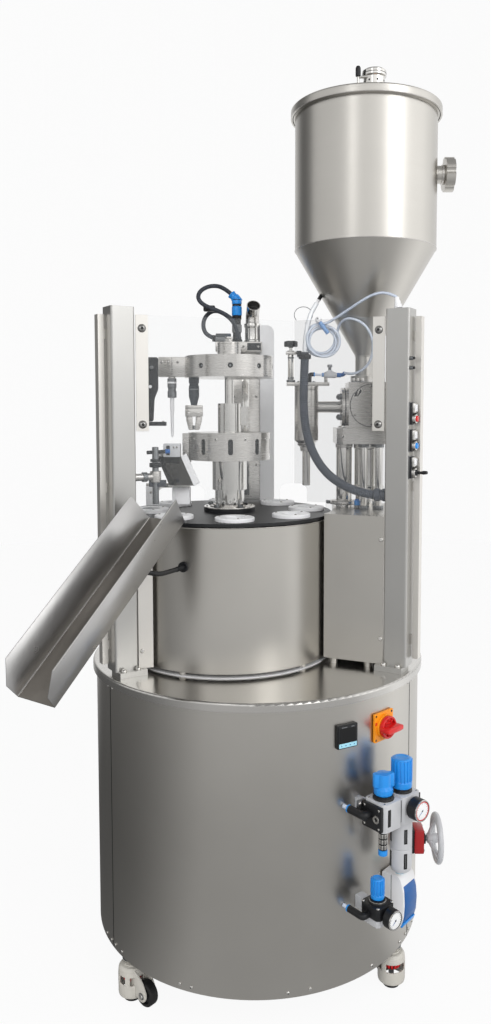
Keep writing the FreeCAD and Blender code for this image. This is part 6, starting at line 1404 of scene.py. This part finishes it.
def make_chute():
    """Folded discharge chute: floor and two splayed walls. The floor is the walls' steel painted darker, a
    painted shade; the rods on the folds and hems give their round edges and, brighter than the sheet, painted
    highlights.
    """
    run = CHUTE_END - CHUTE_TOP
    slope = math.degrees(math.atan2(-run.z, math.hypot(run.x, run.y)))
    heading = math.degrees(math.atan2(run.y, run.x)) + 90
    place = Matrix.Translation(CHUTE_TOP) @ turn(heading) @ turn(slope, "X")
    length, half, height, splay, sheet = run.length, 48.5, 65.0, math.radians(12), 2.0
    piece = Piece("chute_sheets")
    # The floor: the walls' steel, painted darker as painted shade.
    piece.put(block(-half + 0.6, half - 0.6, -length, 0, 0.05, sheet), STEEL_FLOOR_PAINTED_SHADE, place, 0.3)
    outline = [(-length, 0), (0, 0), (0, height), (34 - length, height), (-length, height - 34)]
    for side in (-1, 1):
        s, c = side * math.sin(splay), math.cos(splay)
        wall = Matrix(((0, s, c, side * half), (1, 0, 0, 0), (0, c, -s, 0), (0, 0, 0, 1)))
        low, high = (-sheet, 0) if side > 0 else (0, sheet)
        piece.put(extrude(outline, low, high), STEEL_CHUTE, place @ wall, 0.5)
        # Polished rods round the folds: the bends' round shape, with a painted highlight from a finish
        # brighter than the satin sheet.
        fold = Vector((side * (half - 2.3), 0, 2.2))
        piece.put(tube([fold, fold + Vector((0, -length + 1, 0))], 0.9, 10), POLISHED, place)
        # Rods along the hems: the rolled edges, with a painted highlight from their near-white steel.
        hem = Vector((side * (half - 1) + height * s, -1, height * c - 0.9))
        piece.put(tube([hem, hem + Vector((0, 36 - length, 0))], 1.0, 10), STEEL_STRIP_PAINTED_REFLECTION, place)
    piece.finish("root", "brushed_stainless", "discharge_chute")

    arm = Piece("chute_rod")
    out = outward(-21)
    root = TURRET + out * DRUM_R + Vector((0, 0, 936))
    saddle = CHUTE_TOP + run * 0.27 + turn(heading).to_3x3() @ Vector((18, 0, 0))
    bend = [root - out * 6, root + out * 30, Vector((-190, -314, 938)), saddle + Vector((2, 8, -16)),
            saddle - Vector((0, 0, 1))]
    arm.put(tube(rounded(bend, 26, steps=8), 5.0, 24), BLACK)
    arm.put(ring(11, 4.8, 0.1, 5.1, 1.0, 36), BLACK, facing(out, root))
    arm.put(disc(12, -8, -0.4, 1.0, 32), BLACK, Matrix.Translation(saddle) @ turn(heading) @ turn(slope, "X"))
    for k in range(11):
        arm.put(ring(5.5, 4.8, 7 + 2.4 * k, 8.2 + 2.4 * k, 0.2, 28), BLACK, facing(out, root))
    arm.finish("root", "black_plastic", "chute_arm")


def make_drum_gap_painted_light():
    """White ring on the deck under the drum: painted light, so the gap under the drum looks bright."""
    piece = Piece("drum_gap_painted_light")
    piece.put(ring(236.5, 186, 700.2, 701.6, 0.3, 160), WHITE, at_turret())
    piece.finish("root", "white_plastic")


CASTER_BEARINGS = (-49.5, 57.5, 130.5, -122.5)
CASTER_TRAILS = (50, 200, 95, -95)


def make_casters():
    """Levelling casters: cast housings with a window for the thumb ring, steel nuts, and tyred wheels."""
    for number, (bearing, trail) in enumerate(zip(CASTER_BEARINGS, CASTER_TRAILS), 1):
        place = Matrix.Translation(outward(bearing, CASTER_R)) @ turn(trail - 90)
        fork = Piece(f"caster_housing_{number}")
        crown = [(17.6, 78), (24.5, 77), (29.0, 71), (30, 62), (30, 59), (27.2, 59), (27.2, 66), (20, 72.6),
                 (7, 72.6), (7, 78)]
        fork.put(lathe(rounded(crown, 1.6, True) + [rounded(crown, 1.6, True)[0]], 64), CREAM, place)
        cup = rounded([(30, 41), (30, 18), (29, 12.4), (26.8, 12.4), (26.8, 41)], 1.2, True)
        fork.put(lathe(cup + cup[:1], 64), CREAM, place)
        for angle in (-62, -20, 20, 62, 118, -118):
            fork.put(block(26.9, 29.9, -5.4, 5.4, 39, 61), CREAM, place @ turn(angle), 0.8)
        fork.put(turned([(7, 77.4), (18.6, 77.4), (18.6, 80.4), (7, 80.4)], 0.5, 48), CREAM, place)
        fork.put(extrude(regular(17.0, 6, 12), 80.2, 89.4), POLISHED, place, 1.2)
        fork.put(disc(11.8, 89, 96.4, 0.6, 32), BLACK, place)
        outline = [(4, 70), (6, 40), (18, 26), (34, 18), (40, 14.6), (50, 14.8), (57.6, 22), (59.4, 31), (56,
                                                                                                          42),
                   (47, 57), (30, 70), (22, 74)]
        for low, high in ((-15.4, -10.8), (10.8, 15.4)):
            fork.put(extrude(rounded(outline, 4, True), -high, -low), CREAM, place @ UPRIGHT, 1.3)
        fork.put(disc(4, -17.4, 17.4, 0.6, 28), POLISHED, place @ facing((0, 1, 0), (46, 0, 28)))
        for side in (-1, 1):
            spot = place @ facing((0, side, 0), (46, 15.3 * side, 28))
            fork.put(ring(7.4, 4, 0, 1.2, 0.4, 32), GALVANISED, spot)
            hex_nut(fork, spot @ shift(0, 0, 0.8), 5.6, 2.6, POLISHED)
        fork.finish(f"fork_{number}", "cream_housing", f"caster_fork_{number}")

        wheel = Piece(f"caster_tyre_{number}")
        at = place @ facing((0, 1, 0), (46, 0, 28))
        tread = rounded([(19, -9.9), (24.4, -9.9), (25.9, -7.6), (25.9, 7.6), (24.4, 9.9), (19, 9.9)], 1.2)
        wheel.put(lathe(tread + tread[:1], 72), TYRE, at)
        # Dark marks on the tread: painted shade in its grooves.
        for k in range(36):
            wheel.put(block(25.2, 26.0, -0.5, 0.5, -7, 7), DARK, at @ turn(10 * k))
        hub = rounded([(4.3, -9), (9, -9), (10, -6), (19.2, -6), (19.2, 6), (10, 6), (9, 9), (4.3, 9)], 0.6,
                      True)
        wheel.put(lathe(hub + hub[:1], 48), BLACK, at)
        wheel.finish(f"wheel_{number}", "tyre_black", f"caster_wheel_{number}")

    feet = Piece("levelling_screws")
    for bearing, trail in zip(CASTER_BEARINGS, CASTER_TRAILS):
        place = Matrix.Translation(outward(bearing, CASTER_R)) @ turn(trail - 90)
        feet.put(turned([(0, 0), (18, 0), (19, 2), (19, 7), (15, 10), (6, 10.4), (0, 10.4)], 0.8, 48), BLACK,
                 place)
        feet.put(disc(6, 10, 76, 0.4, 28), GALVANISED, place)
        # A dark disc between the thumb ring's ribs: painted shade.
        feet.put(disc(17, 44.2, 53.8, 1.0, 48), DARK, place)
        for k in range(16):
            feet.put(block(15, 20, -2.6, 2.6, 44.4, 53.6), RED, place @ turn(22.5 * k), 0.8)
        feet.put(disc(16.2, 45.4, 52.6, 0.6, 48), RED, place)
    feet.finish("feet", "red_plastic", "levelling_feet")


def make_drum_details():
    """Rolled seams at the top and foot of the drum, and its weld at the back."""
    piece = Piece("drum_seams")
    at = at_turret()
    piece.put(wire_ring(DRUM_R + 0.2, 1.0, 160, 10), STEEL, at @ shift(0, 0, 1017.8))
    piece.put(wire_ring(DRUM_R + 0.3, 0.8, 160, 8), STEEL, at @ shift(0, 0, 711))
    seam = outward(165, DRUM_R + 0.2)
    piece.put(tube([TURRET + seam + Vector((0, 0, z)) for z in (712, 800, 900, 1016)], 0.7, 8), SATIN)
    piece.finish("root", "brushed_stainless")


def make_holder_details():
    """The three screws that hold each tube holder."""
    piece = Piece("tube_cups")
    for k in range(8):
        spot = TURRET + outward(6.3 + 45 * k, HOLDER_R)
        at = shift(spot.x, spot.y, 0)
        for angle in (45, 165, 285):
            dome_screw(piece, at @ turn(angle) @ shift(34, 0, 1036), 2.8, 1.6)
    piece.finish("turret", "white_plastic")


def make_cabinet_details():
    """Joints of the skirt sheets, and the screws along their foot."""
    piece = Piece("cabinet_seams")
    for bearing in (-56, 62.5):
        piece.put(block(-0.7, 0.7, -0.3, 0.3, 98, 689), DARK, turn(bearing) @ shift(0, -SKIN_R - 0.2, 0))
    for bearing in (-62, -50, -20, 10, 40, 56, 69):
        dome_screw(piece, on_skin(bearing, SKIN_R + 0.1, 108), 3.6, 2.4)
    piece.finish("root", "brushed_stainless")


def make_post_details():
    """Button-head screws of the cover strips, and small fittings on the right post."""
    piece = Piece("strip_screws")
    joint = Vector((82, -88, 0))
    for x, y, lean in ((-251.2, -200.8, 1), (274.04, -170.8, -1)):
        corner = Vector((x, y, 0))
        along = (joint - corner).normalized()
        front = Vector((along.y, -along.x, 0)) * lean
        for z in (1233, 1433):
            spot = corner + along * 14 + front * 3 + Vector((0, 0, z))
            # A dark ring round each screw head: a painted shadow where it sits on the strip.
            piece.put(ring(8.6, 6, 0, 0.8, 0.2, 32), DARK, facing(front, spot))
            dome_screw(piece, facing(front, spot), 7.8, 5.2, SCREW)
    piece.finish("root", "polished_stainless")
    piece = Piece("post_fittings")
    right = in_post(*POST_RIGHT)
    for z in (1372, 1352):
        piece.put(disc(4.2, 0, 7, 0.8, 24), GALVANISED, right @ to_right(26, 8, z))
        piece.put(disc(2.8, 7, 10.5, 0.6, 24), BLACK, right @ to_right(26, 8, z))
    piece.finish("root", "brushed_stainless")


set_camera()
lay_cords()
set_stage()
set_world()
add_softbox("softbox_right", (2.2, -2.3, 2.9), (0.1, 0, 1.4), 1.4, 2.2, 17)
add_softbox("softbox_left", (-1.05, -2.6, 2.8), (0.1, 0, 1.6), 0.4, 1.6, 3.4)
# The fill from the front lights paint and plastic, and no metal mirrors it.
add_softbox("front_fill", (0.2, -3.2, 3.0), (0, 0, 1.1), 3.0, 2.0, 60).visible_glossy = False

for make in (make_ring_details, make_table_hub, make_press_tool, make_tube_slide, make_mast, make_air_unit,
             make_small_air_unit, make_knobs, make_pressure_switch, make_shutoff, make_controller,
             make_main_switch, make_post_units, make_pump, make_valve_details, make_filling_head,
             make_level_probe, make_hopper_details, make_lid, make_casters, make_drum_details,
             make_holder_details, make_cabinet_details, make_post_details, make_chute, make_drum_gap_painted_light):
    make()
make_jaw("closing_jaw_left", "jaw_left", "jaw_l", -1)
make_jaw("closing_jaw_right", "jaw_right", "jaw_r", 1)

FINISH = (
    (STEEL, "base_skirt_front base_skirt_rear turret_shell dosing_box hopper_shell hopper_lid"),
    (STEEL_FLAT, "deck_plate"),
    (GALVANISED, "base_frame indexer_drive"),
    (BLACK, "turntable chute_arm controller air_unit_small control_units"),
    (WHITE, "tube_holders back_cover pressure_switch"),
    (POLISHED, "guide_column head_sleeve dome_bolts dosing_pump nozzle"),
    (SATIN, "lower_tool_ring upper_tool_ring press_tool jaw_left jaw_right lift_actuator tube_slide "
            "dosing_plate valve_block filling_head"),
    (STEEL_POST, "post_left post_right"),
    (STEEL_STRIP_PAINTED_REFLECTION, "guard_strips"),
    (PANE, "guard_pane_left"),
    (PANE_PAINTED_SHADE, "guard_pane_right"),
    (STEEL_CHUTE, "discharge_chute"),
    (ORANGE, "switch_plate"),
    (RED, "switch_knob levelling_feet"),
    (ALUMINIUM, "air_unit_main handwheel"),
    (BLUE, "air_knob_winged air_knob_main air_knob_small"),
    (RED_PAINT, "shutoff_valve"),
    (CABLE, "head_cable_a head_cable_b"),
    (HOSE, "conduit_hose"),
    (TUBING, "air_tube tube_coil"),
    (CREAM, "caster_fork_1 caster_fork_2 caster_fork_3 caster_fork_4"),
    (TYRE, "caster_wheel_1 caster_wheel_2 caster_wheel_3 caster_wheel_4"),
)
for finish, nodes in FINISH:
    for node in nodes.split():
        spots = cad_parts[node].data.materials
        spots.clear()
        spots.append(finish)

bpy.context.scene.view_settings.view_transform = "Standard"
